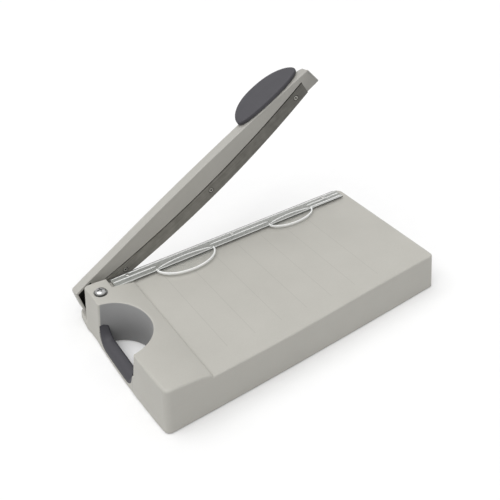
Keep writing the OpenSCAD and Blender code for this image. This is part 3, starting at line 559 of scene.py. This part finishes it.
def grained_matte(name, pale, deep, grain_mm, depth_mm, roughness):
    """Matte moulded skin: even colour with a pebbled grain of the given size that breaks up its sheen."""
    material, tree, at = started(name)
    grain = add(tree, "TexVoronoi", {"Vector": at, "Scale": 1000 / grain_mm}).outputs["Distance"]
    return finished(material, Roughness=roughness, Normal=bumped(grain, 0.35, depth_mm),
                    Base_Color=mix(noise(at, 12.0, 4.0), deep, pale))


screw_zinc = plated_metal("zinc_plated_screw_steel", "#C9C9C6", "#A5A5A2", 0.26, 0.42)
dress("bottom_plate", grained_matte("moulded_abs_dark_cover", "#5E5E60", "#545456", 1.4, 0.1, 0.55))
dress("bottom_screws", screw_zinc)
dress("rubber_feet", grained_matte("die_cut_black_rubber", "#1C1C1D", "#141414", 1.0, 0.1, 0.8))

# Carry grip: a soft bar of dark thermoplastic rubber across the left mouth of the carry hole. It is
# moulded with a saddle, so its ends run up the walls of the hole, and is held by screws from below.


def tube(rows, columns, start=0):
    """Faces of a grid that closes round its columns, with one face over each end."""
    ends = [list(range(first, first + columns)) for first in (start, start + (rows - 1) * columns)]
    return band(rows, columns, start) + ends


grip_along, grip_low, inner_round, side_gap = 61, 5.0, 2.2, 0.15
reach = np.sin(np.linspace(-1, 1, grip_along) * np.pi / 2)[:, None] * 0.988
saddle = (np.maximum(np.abs(reach) - 0.68, 0) / 0.32) ** 2
reach_r = np.where(reach < 0, hole_r + 1.2, hole_r)
y = hole_y + reach_r * reach
low = 0 * y + grip_low
edge, crest = low + 25.0 * saddle, 15.0 + 15.0 * saddle
hole_side = np.sqrt(np.maximum((reach_r - 0.05) ** 2 - (y - hole_y) ** 2, 0))
inner = np.minimum(bridge_x, hole_x + hole_side)
outer = np.minimum(left_x(y, edge) + side_gap, inner - 0.3)
foot_x = left_x(y, grip_low) + side_gap
turn_r = np.minimum(inner_round, (inner - outer) * 0.3)
shelf = inner - turn_r
sweep = np.radians(np.linspace(0, 90, 10))[None]
over = np.radians(np.linspace(0, 90, 14))[None, 1:]
# section from the inner foot up, round the inner edge, over the top and down the outer side
grip_x = np.hstack([
    inner, inner, inner - turn_r * (1 - np.cos(sweep)), shelf - (shelf - outer) * np.sin(over), outer,
    np.minimum(foot_x, inner - 0.2), np.minimum(foot_x + 0.4, inner - 0.1)])
grip_z = np.hstack([
    low, low + 1, crest - turn_r * (1 - np.sin(sweep)), edge + (crest - edge) * np.cos(over) ** 0.9,
    edge - (edge - low) * 0.3, low + 0.4, low])
grip_points = stack(grip_x, y, grip_z).reshape(-1, 3)
carry_bar = build("carry_bar", grip_points, tube(*grip_x.shape), 40)
soft_rubber = grained_matte("moulded_soft_tpe_slate", "#3F3E43", "#38373C", 1.2, 0.12, 0.62)
carry_bar.data.materials.append(soft_rubber)
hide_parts("carry_grip")
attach(carry_bar, "base")
dress("carry_grip_screws", screw_zinc)

# Bed knife: a strip of hardened steel in a seat along the rear edge of the bed, ground along its
# length and held by screws from below.


def ground_steel(name, pale, deep, roughness, mottled, turn, metal=1.0, near=1.0, far=1.0):
    """Steel ground by a wheel: fine streaks along the cut, 0.4 mm apart in life and drawn 1.2 mm apart, and
    a faint mottling left by handling. The streaks lie along X after the arm's tilt is turned away. The tone
    is scaled from near to far over the blade's length, painted light and shade along it."""
    material, tree, at = started(name)
    turned = add(tree, "Mapping", {"Vector": at, "Rotation": (0, turn, 0)}).outputs[0]
    stretched = add(tree, "Mapping", {"Vector": turned, "Scale": (0.03, 1.0, 1.0)}).outputs[0]
    streaks = noise(stretched, 1.2, 3.0)
    spread = ramp(blend(mottled, streaks, noise(at, 9.0, 5.0)), 0.32, 0.68)
    along = add(tree, "SeparateXYZ", {0: turned}).outputs["X"]
    tone = scaled(mix(spread, deep, pale), ramp(along, -0.1, 0.2, near, far))
    return finished(material, Metallic=metal, Base_Color=tone, Normal=bumped(streaks, 0.15, 0.1),
                    Roughness=ramp(streaks, 0, 1, roughness - 0.1, roughness + 0.1))


dress("fixed_blade", ground_steel("ground_bed_knife_steel", "#A9A9A6", "#8E8E8B", 0.42, 0.4, 0.0))
dress("fixed_blade_screws", screw_zinc)

# Hinge bracket and its bolt: a bent steel angle inside the ear, pulled up by a domed chrome bolt that
# goes through a washer in a shallow seat on the raised end. A nut holds it below.


def fan(hub, first, count):
    """Triangles from one point to a closed ring of points."""
    i = np.arange(count)
    return stack(hub, first + i, first + (i + 1) % count).tolist()


def turned_part(radii, levels, count, cross=(0.0, 0.0, 0.0)):
    """Surface of revolution: radius against level along the axis, closed by a point at each end. A cross
    recess of two slots, given as reach, half width and depth, sinks the last end past the widest radius.
    Returns points as (across, across, along the axis) and faces."""
    t = np.linspace(0, 2 * np.pi, count, endpoint=False)
    radii, levels = np.asarray(radii, float), np.asarray(levels, float)
    x, y = radii[:, None] * np.cos(t), radii[:, None] * np.sin(t)
    reach, half, deep = cross
    slot = np.clip((half - np.minimum(abs(x), abs(y))) / 0.25 + 0.5, 0, 1)
    slot *= np.clip((reach - radii) / 0.5, 0, 1)[:, None]
    sunk = deep * slot * (np.arange(len(radii)) > np.argmax(radii))[:, None]
    grid = stack(x, y, levels[:, None] - sunk)
    points = np.vstack([grid.reshape(-1, 3), [[0, 0, levels[0]], [0, 0, levels[-1] - deep]]])
    size = len(radii) * count
    return points, band(len(radii), count) + fan(size, 0, count) + fan(size + 1, size - count, count)


dome_wide, dome_high, dome_low = 6.0, 2.5, 1.3
dome = np.hstack([[5.95, 5.8, 5.5, 5.1, 4.6], np.linspace(4.1, 0.15, 24)])
dome_r = np.hstack([[2.9, 2.9, 5.5, 5.9, dome_wide, dome_wide], dome])
dome_z = np.hstack([[-14.0, 0.0, 0.0, 0.12, 0.35, dome_low],
                    dome_low + dome_high * np.sqrt(1 - (dome / dome_wide) ** 2)])
points, faces = turned_part(dome_r, dome_z, 96, cross=(3.4, 0.75, 1.6))
bolt_dome = build("bolt_dome", points + [bolt_x, bolt_y, seat_z + 1.0], faces, 40)
# polished chrome plate is a mirror with very light wipe marks, about 3 mm long
wiped = (0.05, 0.14, 3.0, 3.0)
bolt_dome.data.materials.append(plated_metal("polished_chrome_plate", "#A6A6A6", "#989898", *wiped))
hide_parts("bracket_bolt")
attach(bolt_dome, "base")
# the washer's chrome is darker than the dome's, partly painted shade for a dark ring round the dome
dress("bracket_washer", plated_metal("chromed_stamped_washer", "#767674", "#666664", *wiped))
bracket_zinc = plated_metal("zinc_plated_bracket_steel", "#A8A8A4", "#8B8B87", 0.34, 0.50)
dress("hinge_bracket", bracket_zinc)
dress("bracket_nut", screw_zinc)

# Hinge pin and its stack: a headed steel pin through the bracket with a spacer, a slip washer of
# acetal, a spring washer that is squeezed by the nut, and the nut. They hold the arm where it is left.
dress("pivot_pin", screw_zinc)
dress("pivot_spacer", bracket_zinc)
dress("thrust_washer", grained_matte("turned_natural_acetal", "#D6D2C4", "#CCC8BA", 1.0, 0.04, 0.45))
dress("wave_washer", screw_zinc)
dress("pivot_nut", screw_zinc)

# Clamp posts and springs: three headed steel posts guide the clamp, and a small coil spring of music
# wire round each, in a pocket of the bed, lifts it.


def copies(shapes, faces):
    """Like shapes in one mesh: all their points, and the faces once for each."""
    every = [face for k in range(len(shapes)) for face in shifted(faces, k * len(shapes[0]))]
    return np.vstack(shapes), every


post_r = [1.5, 1.5, 1.9, 2.25, 2.4, 2.4, 2.2, 1.7, 0.9, 0.8, 0.3]
post_z = [34.7, 51.5, 51.5, 51.55, 51.7, 52.2, 52.5, 52.68, 52.7, 52.3, 52.3]
points, faces = turned_part(post_r, post_z, 32)
clamp_pins = build("clamp_pins", *copies([points + [x, post_y, 0] for x in post_x], faces), 40)
clamp_pins.data.materials.append(screw_zinc)
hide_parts("clamp_posts")
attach(clamp_pins, "base")

turns, wire_r, wire_round, coil_r, coil_low, coil_high = 5, 0.4, 10, 2.6, 41.1, 48.45
t = np.linspace(0, turns * 2 * np.pi, turns * 28 + 1)[:, None]
about = np.linspace(0, 2 * np.pi, wire_round, endpoint=False)[None]
from_axis = coil_r + wire_r * np.cos(about)
coil_z = coil_low + (coil_high - coil_low) * t / t.max() + wire_r * np.sin(about)
coil = stack(from_axis * np.cos(t), from_axis * np.sin(t), coil_z).reshape(-1, 3)
coil_faces = tube(*coil_z.shape)
lift_springs = build("lift_springs", *copies([coil + [x, post_y, 0] for x in post_x], coil_faces), 60)
lift_springs.data.materials.append(plated_metal("drawn_music_wire", "#9C9C9A", "#7E7E7C", 0.22, 0.38))
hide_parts("clamp_springs")
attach(lift_springs, "base")
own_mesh(lift_springs)

# Paper clamp: one clear acrylic moulding, a strip with a rib along each edge and two half-moon finger
# tabs with raised rims. It lies over the posts and is pressed down by the fingers.
strip_front, strip_rear, strip_low, strip_top = -20.6, -6.2, 49.0, 51.0
strip_x0, strip_x1, soft = -21.0, 295.0, 0.15
# section of the strip, and the painted highlight of each corner
strip = np.array([
    [strip_front, strip_low + soft], [strip_front + soft, strip_low], [strip_rear - soft, strip_low],
    [strip_rear, strip_low + soft], [strip_rear, strip_top - soft], [strip_rear - soft, strip_top],
    [strip_front + 1.4, strip_top], [strip_front + 1.0, strip_top], [strip_front + 0.3, strip_top],
    [strip_front, strip_top - 0.3]])
strip_painted_highlight = np.repeat([0, 0.6], [7, 3])
x = np.hstack([[strip_x0, strip_x0 + 0.1], np.linspace(strip_x0 + 0.5, strip_x1 - 0.5, 60),
               [strip_x1 - 0.1, strip_x1]])
shrink = np.ones((len(x), 1, 1))
shrink[[0, -1]] = 0.97
middle = np.array([(strip_front + strip_rear) / 2, (strip_low + strip_top) / 2])
section = middle + (strip - middle) * shrink
clamp_points = np.column_stack([np.repeat(x, len(strip)), section.reshape(-1, 2)])
clamp_faces = tube(len(x), len(strip))
edge_light = np.tile(strip_painted_highlight, len(x))


def bead(path):
    """Low ridge carried along a line in the plan: a rounded top 1.4 mm wide, drawn in at both ends."""
    along = np.gradient(path, axis=0)
    side = stack(-along[:, 1], along[:, 0]) / np.linalg.norm(along, axis=1)[:, None]
    count = np.arange(len(path))
    drawn = np.minimum(1.0, 0.4 + 0.3 * np.minimum(count, count[::-1]))[:, None]
    t = np.linspace(0, np.pi, 11)[None]
    plan = path[:, None] + side[:, None] * (0.7 * np.cos(t) * drawn)[:, :, None]
    return np.dstack([plan, 50.9 + np.sin(t) ** 0.7 * drawn])


# beads: one along the rear edge, straight ones beside the finger tabs and an arc along each tab
tabs = ((65.5, 75.0, 22.0, 4.4), (212.5, 65.0, 15.0, 3.6))  # middle, length, depth, swing of the bead
swing = np.linspace(-1, 1, 33)
beads = [stack(np.linspace(first, last, 40), y) for first, last, y in (
    (-20.6, 294.0, -7.4), (-20.6, 30.5, -13.6), (100.5, 182.5, -13.6), (242.5, 294.0, -12.8),
    (242.5, 294.0, -18.3))]
beads += [stack(tab_x + (length / 2 - 3.0) * swing, -18.4 + lift * (1 - swing ** 2))
          for tab_x, length, _, lift in tabs]
# each bead is painted fully light, a painted highlight
for ridge in map(bead, beads):
    clamp_faces += tube(*ridge.shape[:2], len(clamp_points))
    clamp_points = np.vstack([clamp_points, ridge.reshape(-1, 3)])
    edge_light = np.append(edge_light, np.ones(ridge[..., 0].size))
across, tab_y = np.linspace(np.pi, 2 * np.pi, 65), -18.95
# rim of a tab: distance in from its edge, level and painted highlight, from the underside over the rim to the
# plate
tab_rim = np.array([
    [1.2, 49.0, 0.0], [0.2, 49.0, 0.4], [0.0, 49.2, 0.7], [0.0, 51.3, 1.0], [0.15, 51.65, 1.0],
    [0.5, 51.85, 1.0], [1.0, 51.9, 1.0], [1.5, 51.8, 1.0], [1.85, 51.5, 1.0], [2.0, 50.8, 0.7],
    [2.2, 50.5, 0.2], [2.7, 50.4, 0.0]])
inset, z, light = tab_rim.T[:, :, None]
for tab_x, length, depth, _ in tabs:
    shape = stack(tab_x + (length / 2 - inset) * np.cos(across),
                  tab_y + (depth - inset) * np.sin(across), z)
    start, (rows, columns) = len(clamp_points), shape.shape[:2]
    clamp_points = np.vstack([clamp_points, shape.reshape(-1, 3)])
    edge_light = np.append(edge_light, (light + 0 * across).ravel())
    clamp_faces += band(rows, columns, start, closed=False)
    # flat plate above and below, and the straight side against the strip
    ids = start + np.arange(rows * columns).reshape(rows, columns)
    clamp_faces += [ids[-1].tolist(), ids[0].tolist(), [*ids[:, 0].tolist(), *ids[::-1, -1].tolist()]]
clear_clamp = build("clear_clamp", clamp_points, clamp_faces, 35, edge_light=edge_light)


def clear_acrylic(name):
    """Clear moulded acrylic: the bed shows through it, and raised edges carry a painted highlight that makes
    them nearly white. The strip's cut front edge over the bed and its left end carry painted shade, nearly
    black, for the shadowed gap below. A trace of haze lies on it in patches about 8 mm across."""
    material, tree, at = started(name)
    x, y, z = add(tree, "SeparateXYZ", {0: at}).outputs
    stop_x, front_at, _ = row([0, strip_front, 0])
    end_at, face_at, _ = row([strip_x0 + 0.15, strip_front + 0.02, 0])
    # painted shade: the front face over the bed and the left end face, below 50.4 mm, turn nearly black
    front = calc("COMPARE", y, front_at, 0.00012)
    over_bed = calc("MULTIPLY", front, calc("GREATER_THAN", x, stop_x))
    sides = calc("MAXIMUM", over_bed, calc("LESS_THAN", x, end_at))
    cut = calc("MULTIPLY", sides, calc("LESS_THAN", z, 0.0504))
    on_strip = calc("GREATER_THAN", y, face_at)
    edge, haze = read(tree, "edge_light"), noise(at, 8.0, 4.0)
    tone = mix(edge, mix(on_strip, "#BFC3BE", "#B2B4B0"), "#FBFCFB")
    bare = calc("MULTIPLY_ADD", on_strip, 0.4, ramp(haze, 0.3, 0.7, 0.04, 0.1))
    cover = blend(cut, blend(edge, bare, 0.88), 0.9)
    return finished(material, IOR=1.49, Base_Color=mix(cut, tone, "#2B2A28"), Alpha=cover,
                    Roughness=ramp(haze, 0, 1, 0.06, 0.2))


clear_clamp.data.materials.append(clear_acrylic("moulded_clear_acrylic"))
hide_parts("paper_clamp")
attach(clear_clamp, "clamp")

# Carrier bar and bush: a flat steel bar inside the arm that takes the blade's screws, with a turned
# brass bush pressed in for the hinge pin, and the screws that hold it in the moulding.
# the carrier bar is coloured near black, painted shade that darkens the gap above the blade
dress("arm_bar", plated_metal("bar_steel_painted_dark", "#3B3B39", "#2C2C2B", 0.42, 0.58))
dress("pivot_bush", plated_metal("turned_bush_brass", "#C9A55A", "#A8853F", 0.22, 0.38))
dress("cover_screws", screw_zinc)

# Arm moulding: a long grey ABS channel, open below, with a flat inner web, a crisp ridge, a rounded
# outer edge and closed ends. The shelf of the hand grip stands out from it on the outer side.
tilt, pivot_x, pivot_z = math.radians(31.4), -36.0, 40.0
arm_len, arm_drop, arm_wall = 337.6, 12.0, 2.5
web_y, bar_y, arm_out, edge_round, ridge_r, end_r = 0.8, 2.3, 19.0, 11.0, 1.1, 2.0
tail_low, tail_top, tip_lean, tip_r, blade_end = 27.0, 17.9, 2.8, 13.0, 320.8


def raise_arm(a, y, h):
    """Arm lengths (along from the hinge, across, up) to the bed frame, with the arm opened by its tilt."""
    return stack(pivot_x + a * math.cos(tilt) - h * math.sin(tilt), y,
                 pivot_z + a * math.sin(tilt) + h * math.cos(tilt))


def arm_top(a):
    """Bowed top of the arm, a little higher over the hinge."""
    return 17.7 - 0.9 * ease((a + 18.0) / 60.0) - (a - 130.0) ** 2 / 6600.0


def blade_line(a, level):
    """Bowed lines along the blade."""
    return level + (a - 155.0) ** 2 / 2440.0


# stations along the arm: end (-1 tail, 0 between, 1 tip), place, web (0 open, 1 to the blade, 2 full), inset
bend = [[end_r * (1 - math.sin(t)), 2, end_r * (1 - math.cos(t))] for t in np.radians([90, 68, 45, 22, 0])]
stations = np.array(
    [[-1, *place] for place in bend]
    + [[-1, 2.5, 2, 0], [-1, 2.52, 0, 0], [0, -8, 0, 0], [0, 0, 0, 0], [0, 1.98, 0, 0]]
    + [[0, a, 1, 0] for a in np.linspace(2.0, blade_end, 44)]
    + [[0, blade_end + 0.02, 2, 0]] + [[0, a, 2, 0] for a in np.linspace(323.0, 333.0, 9)]
    + [[1, 2.5, 2, 0]] + [[1, *place] for place in bend[::-1]])
first_in, last_in = 5, len(stations) - 6


def channel_lines(st, inner):
    """Section of the channel at each station: up the web, round the ridge, over the top, round the outer edge
    and down the outer wall. The inner one runs a wall's thickness inside."""
    kind, place, web, inset = st.T[:, :, None]
    mid = np.where(kind < 0, place - tail_top, np.where(kind > 0, arm_len - place, place))
    d = arm_wall if inner else 0.0
    near = (bar_y if inner else web_y) + inset
    beyond = np.clip(mid - (arm_len - tip_r), 0, tip_r - 0.02)
    out = arm_out - d - inset - 0.8 * (tip_r - np.sqrt(tip_r ** 2 - beyond ** 2))
    top = arm_top(mid) - d - inset
    low = np.where(web > 1, -arm_drop, np.where(web < 1, top + d - arm_wall - 0.3, blade_line(place, -6.6)))
    low = np.minimum(low, top - 0.2)
    ridge, foot = (0.3, 0.0) if inner else (ridge_r, 0.4)
    big = edge_round - d
    rise = np.maximum(top - ridge, low + 0.05)
    turn = np.radians(np.linspace(180, 90, 6))[None]
    over = np.radians(np.linspace(90, 0, 15))[None]
    lead = near + ridge + 0.7 + 0.004 * np.arange(15)[None]
    side = np.maximum(out, lead[:, -1:])
    y = np.hstack([
        near, near, near + ridge * (1 + np.cos(turn)), near + ridge + 0.6,
        np.maximum(out - big + big * np.cos(over), lead), side, side, side - foot])
    h = np.hstack([
        low, np.maximum(rise - 0.8, low + 0.02), rise + (top - rise) * np.sin(turn), top,
        top - big * (1 - np.sin(over)), top - big - 0.8, 0 * low - arm_drop + foot, 0 * low - arm_drop])
    tail = -tail_low + (h + arm_drop) * (tail_low - tail_top) / (arm_drop + arm_top(-tail_top))
    tip = arm_len + tip_lean - (h + arm_drop) * 2 * tip_lean / (arm_drop + arm_top(arm_len))
    return raise_arm(np.where(kind < 0, tail + place, np.where(kind > 0, tip - place, place)), y, h)


outside = channel_lines(stations, False)
hollow = channel_lines(stations[first_in:last_in + 1], True)
rows, columns = outside.shape[:2]
arm_points = np.vstack([outside.reshape(-1, 3), hollow.reshape(-1, 3)])
# painted shade at each point: the hollow fully, the web past the blade's end a little, most at its foot and
# tip
shade = np.zeros((rows, columns))
past_blade = (stations[:, 0] >= 0) & (stations[:, 2] > 1)
shade[past_blade, 0] = 0.2
shade[past_blade, 1:3] = 0.2 * np.linspace(0, 1, past_blade.sum())[:, None]
inner_face = np.append(shade.ravel(), np.ones(len(hollow) * columns))
arm_faces = band(rows, columns, 0, False) + band(len(hollow), columns, rows * columns, False)
out_ids = np.arange(rows * columns).reshape(rows, columns)
in_ids = rows * columns + np.arange(len(hollow) * columns).reshape(len(hollow), columns)
for side in (0, columns - 1):
    rim_out, rim_in = out_ids[first_in:last_in + 1, side], in_ids[:, side]
    arm_faces += stack(rim_out[:-1], rim_out[1:], rim_in[1:], rim_in[:-1]).tolist()
arm_faces += [ids.tolist() for ids in (out_ids[0], out_ids[-1], in_ids[0], in_ids[-1])]
# lower rims of the two closed ends
for end_rows, hollow_row in ((out_ids[:first_in + 1], in_ids[0]), (out_ids[:last_in - 1:-1], in_ids[-1])):
    for a, b in zip([*end_rows[:-1], end_rows[-1]], [*end_rows[1:], hollow_row]):
        arm_faces.append([int(i) for i in (a[0], b[0], b[-1], a[-1])])

pad_mid, pad_half, pad_heart = 281.7, 44.9, 15.0


def pad_outline(inset, count=64):
    """D of the hand grip, along and across the arm: an outer bulge and a flatter inner side that meet in
    round ends, each a power curve about a middle line that runs outwards to the tip."""
    t = -np.cos(np.linspace(0, np.pi, count))
    middle = 12.2 + 2.1 * t
    outer = middle + (36.9 - inset - middle) * (1 - np.abs(t) ** 2.32) ** 0.6
    inner = middle - (middle - 1.5 - inset) * (1 - np.abs(t) ** np.where(t > 0, 1.6, 2.87)) ** 0.41
    a = pad_mid + (pad_half - inset) * t
    return np.vstack([stack(a, outer)[:-1], stack(a, inner)[:0:-1]])


def padded_plate(inset, rings):
    """Plate over the D: rings of (share of the way out from the middle, height above the arm's top)."""
    edge = pad_outline(inset)
    heart = np.array([pad_mid, pad_heart])
    plan = np.vstack([heart + (edge - heart) * share for share, _ in rings])
    up = np.repeat([z for _, z in rings], len(edge))
    points = raise_arm(plan[:, 0], plan[:, 1], arm_top(plan[:, 0]) + up)
    ends = raise_arm(pad_mid, pad_heart, arm_top(pad_mid) + np.array([rings[0][1], rings[-1][1]]))
    n, size = len(edge), len(points)
    return np.vstack([points, ends]), band(len(rings), n) + fan(size, 0, n) + fan(size + 1, size - n, n)


# more solids of the moulding, each with one painted shade: first the shelf
solids = [(*padded_plate(2.5, [
    (0.5, -3.5), (0.985, -3.5), (1.0, -3.2), (1.0, -0.4), (0.985, -0.15), (0.5, -0.15)]), 0.0)]
# bosses inside the channel for the carrier bar's screws
points, faces = turned_part([1.3, 4.0, 4.0], [5.35, 5.35, 17.6], 32)
u, v, w = points.T
solids += [(raise_arm(a + u, w, blade_line(a, -11.6) + v), faces, 1.0) for a in (70.0, 185.0, 285.0)]
# floor that closes the channel below, at its tail
corners = stack(*np.meshgrid([-25.5, -16.0], [1.0, 17.5], [-12.0, -10.6], indexing="ij")).reshape(-1, 3)
faces = [[0, 1, 3, 2], [4, 6, 7, 5], [0, 4, 5, 1], [2, 3, 7, 6], [0, 2, 6, 4], [1, 5, 7, 3]]
for points, faces, dark in [*solids, (raise_arm(*corners.T), faces, 1.0)]:
    arm_faces += shifted(faces, len(arm_points))
    arm_points = np.vstack([arm_points, points])
    inner_face = np.append(inner_face, np.full(len(points), dark))
arm_moulding = build("arm_moulding", arm_points, arm_faces, inner_face=inner_face)
arm_moulding.data.materials.append(moulded_abs("moulded_abs_arm_grey", "#B4B2AC", "#ACAAA4", False))
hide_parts("arm_cover")
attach(arm_moulding, "arm")

# Cutting blade: a bowed strip of dark ground steel on the arm's inner side, screwed flat to the
# carrier bar by three sunk screws with cross recesses.
blade_face, blade_back, pocket_floor = 0.3, 2.3, 1.5
head_at, head_level, head_pocket = (37.0, 166.0, 306.0), -15.6, 3.3
a, edge_a = np.linspace(11.0, 320.5, 60), np.linspace(11.0, 321.8, 60)
cutting_edge = stack(edge_a, -24.45 + (edge_a - 162.0) ** 2 / 2180.0)
outline = np.vstack([cutting_edge, stack(a, blade_line(a, -8.0))[::-1]])
lines, depths = [], [np.full(len(outline), blade_face)]
for place in head_at:
    for radius, y in ((head_pocket, blade_face), (head_pocket - 0.02, pocket_floor)):
        lines.append((ring_of(place, blade_line(place, head_level), radius, 48), np.full(48, -1), True))
        depths.append(np.full(48, y))
plan, blade_faces = fill(outline, lines)
start, i = len(plan), np.arange(len(outline))
following = (i + 1) % len(i)
blade_faces += shifted(fill(outline)[1], start)
blade_faces += stack(i, following, start + following, start + i).tolist()
blade_points = np.vstack([raise_arm(plan[:, 0], np.hstack(depths), plan[:, 1]),
                          raise_arm(outline[:, 0], blade_back, outline[:, 1])])
cutting_blade = build("cutting_blade", blade_points, blade_faces)
# painted light near the hinge and painted shade towards the tip: the tone runs from 1.5 to 0.72 times
cutting_blade.data.materials.append(
    ground_steel("ground_dark_blade_steel", "#7E7C76", "#605E58", 0.6, 0.5, tilt, 0.1, 1.5, 0.72))
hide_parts("arm_blade")
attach(cutting_blade, "arm")
head_r = np.hstack([[3.27, 3.27, 3.2, 3.0, 2.55, 2.45, 2.35], np.linspace(2.2, 0.1, 18)])
head_up = np.hstack([[-1.0, -0.1, -0.5, -0.5, -0.45, -0.1, 0.0], np.zeros(18)])
points, faces = turned_part(head_r, head_up, 64, cross=(1.9, 0.5, 0.8))
u, v, w = points.T
heads = [raise_arm(a + u, blade_face + 0.01 - w, blade_line(a, head_level) + v) for a in head_at]
in_groove = np.tile(np.clip((-0.15 - w) / 0.25, 0, 1), len(heads))
blade_heads = build("blade_heads", *copies(heads, faces), 35, in_groove=in_groove)
# painted shade: the groove round each head and its recess are coloured nearly black
head_steel = plated_metal("sunk_heads_painted_shade", "#B9B7B0", "#A09E98", 0.37, 0.53)
tree = head_steel.node_tree
face_tone = tree.nodes["Principled BSDF"].inputs["Base Color"].links[0].from_socket
finished(head_steel, Metallic=0.4, Base_Color=mix(read(tree, "in_groove"), face_tone, "#161514"))
blade_heads.data.materials.append(head_steel)
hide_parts("blade_screws")
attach(blade_heads, "arm")

# Hand grip: a D-shaped pad of dark soft rubber on the arm's top near its tip, slightly crowned, with a
# rounded rim. Two screws from below hold it on its shelf.
hand_pad = build("hand_pad", *padded_plate(0.0, [
    (0.5, 0.15), (0.92, 0.15), (0.925, 0.85), (0.985, 1.05), (1.0, 1.5), (1.0, 4.0), (0.992, 4.7),
    (0.972, 5.2), (0.94, 5.5), (0.86, 5.65), (0.7, 5.8), (0.45, 5.9), (0.2, 5.95)]), 50)
hand_pad.data.materials.append(soft_rubber)
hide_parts("hand_grip")
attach(hand_pad, "arm")
dress("grip_screws", screw_zinc)

# Studio: a plain pale floor under soft even light, brightest from the left, and a camera where the
# photograph was taken from. The floor and the sky are white to the eye and keep the soft shadow.
floor_mesh = bpy.data.meshes.new("studio_floor")
floor_mesh.from_pydata([(-9, -9, 0), (9, -9, 0), (9, 9, 0), (-9, 9, 0)], [], [[0, 1, 2, 3]])
studio_floor = bpy.data.objects.new("studio_floor", floor_mesh)
bpy.context.scene.collection.objects.link(studio_floor)


def seen_directly(tree):
    """1 for rays from the camera, a mirror or clear plastic, 0 for the light that falls on the object."""
    rays = add(tree, "LightPath").outputs
    mirrored = calc("MAXIMUM", rays["Is Camera Ray"], rays["Is Glossy Ray"])
    return calc("MAXIMUM", mirrored, rays["Is Transmission Ray"])


# the paper is white to the eye, and throws back only part of the light on the object
white = (1, 1, 1, 1)
paper, tree, at = started("matte_white_backdrop_paper")
direct = seen_directly(tree)
paper_white = mix(noise(at, 20.0, 4.0), "#F2F2F2", "#F5F5F5")
finished(paper, Roughness=0.95, Specular_IOR_Level=0.0, Emission_Color=white,
         Emission_Strength=calc("MULTIPLY", direct, 0.045),
         Base_Color=mix(direct, "#E0E0E0", paper_white))
floor_mesh.materials.append(paper)

world = bpy.data.worlds.new("soft_studio_sky")
bpy.context.scene.world = world
world.use_nodes = True
sky = world.node_tree.nodes["Background"]
sky.inputs["Color"].default_value = white
plug(sky.inputs["Strength"], ramp(seen_directly(world.node_tree), 0, 1, 0.40, 1.0))

for name, strength, spread, turn in (
        ("key_from_left", 1.45, 60, (-4.6, -20, 0)), ("overhead_softbox", 0.62, 100, (0, 0, 0)),
        ("front_fill", 0.35, 90, (60, 0, -34))):
    lamp = bpy.data.lights.new(name, "SUN")
    lamp.energy = strength
    lamp.angle = math.radians(spread)
    light = bpy.data.objects.new(name, lamp)
    light.rotation_euler = np.radians(turn)
    bpy.context.scene.collection.objects.link(light)

lens = bpy.data.cameras.new("studio_camera")
lens.sensor_width = 36.0
lens.lens = 48.94
lens.clip_end = 50.0
camera = bpy.data.objects.new("studio_camera", lens)
camera.location = row([-210.8, -554.2, 526.5])
camera.rotation_euler = np.radians([52.17, 0.0, -34.21])
bpy.context.scene.collection.objects.link(camera)
bpy.context.scene.camera = camera
bpy.context.scene.view_settings.view_transform = "Standard"
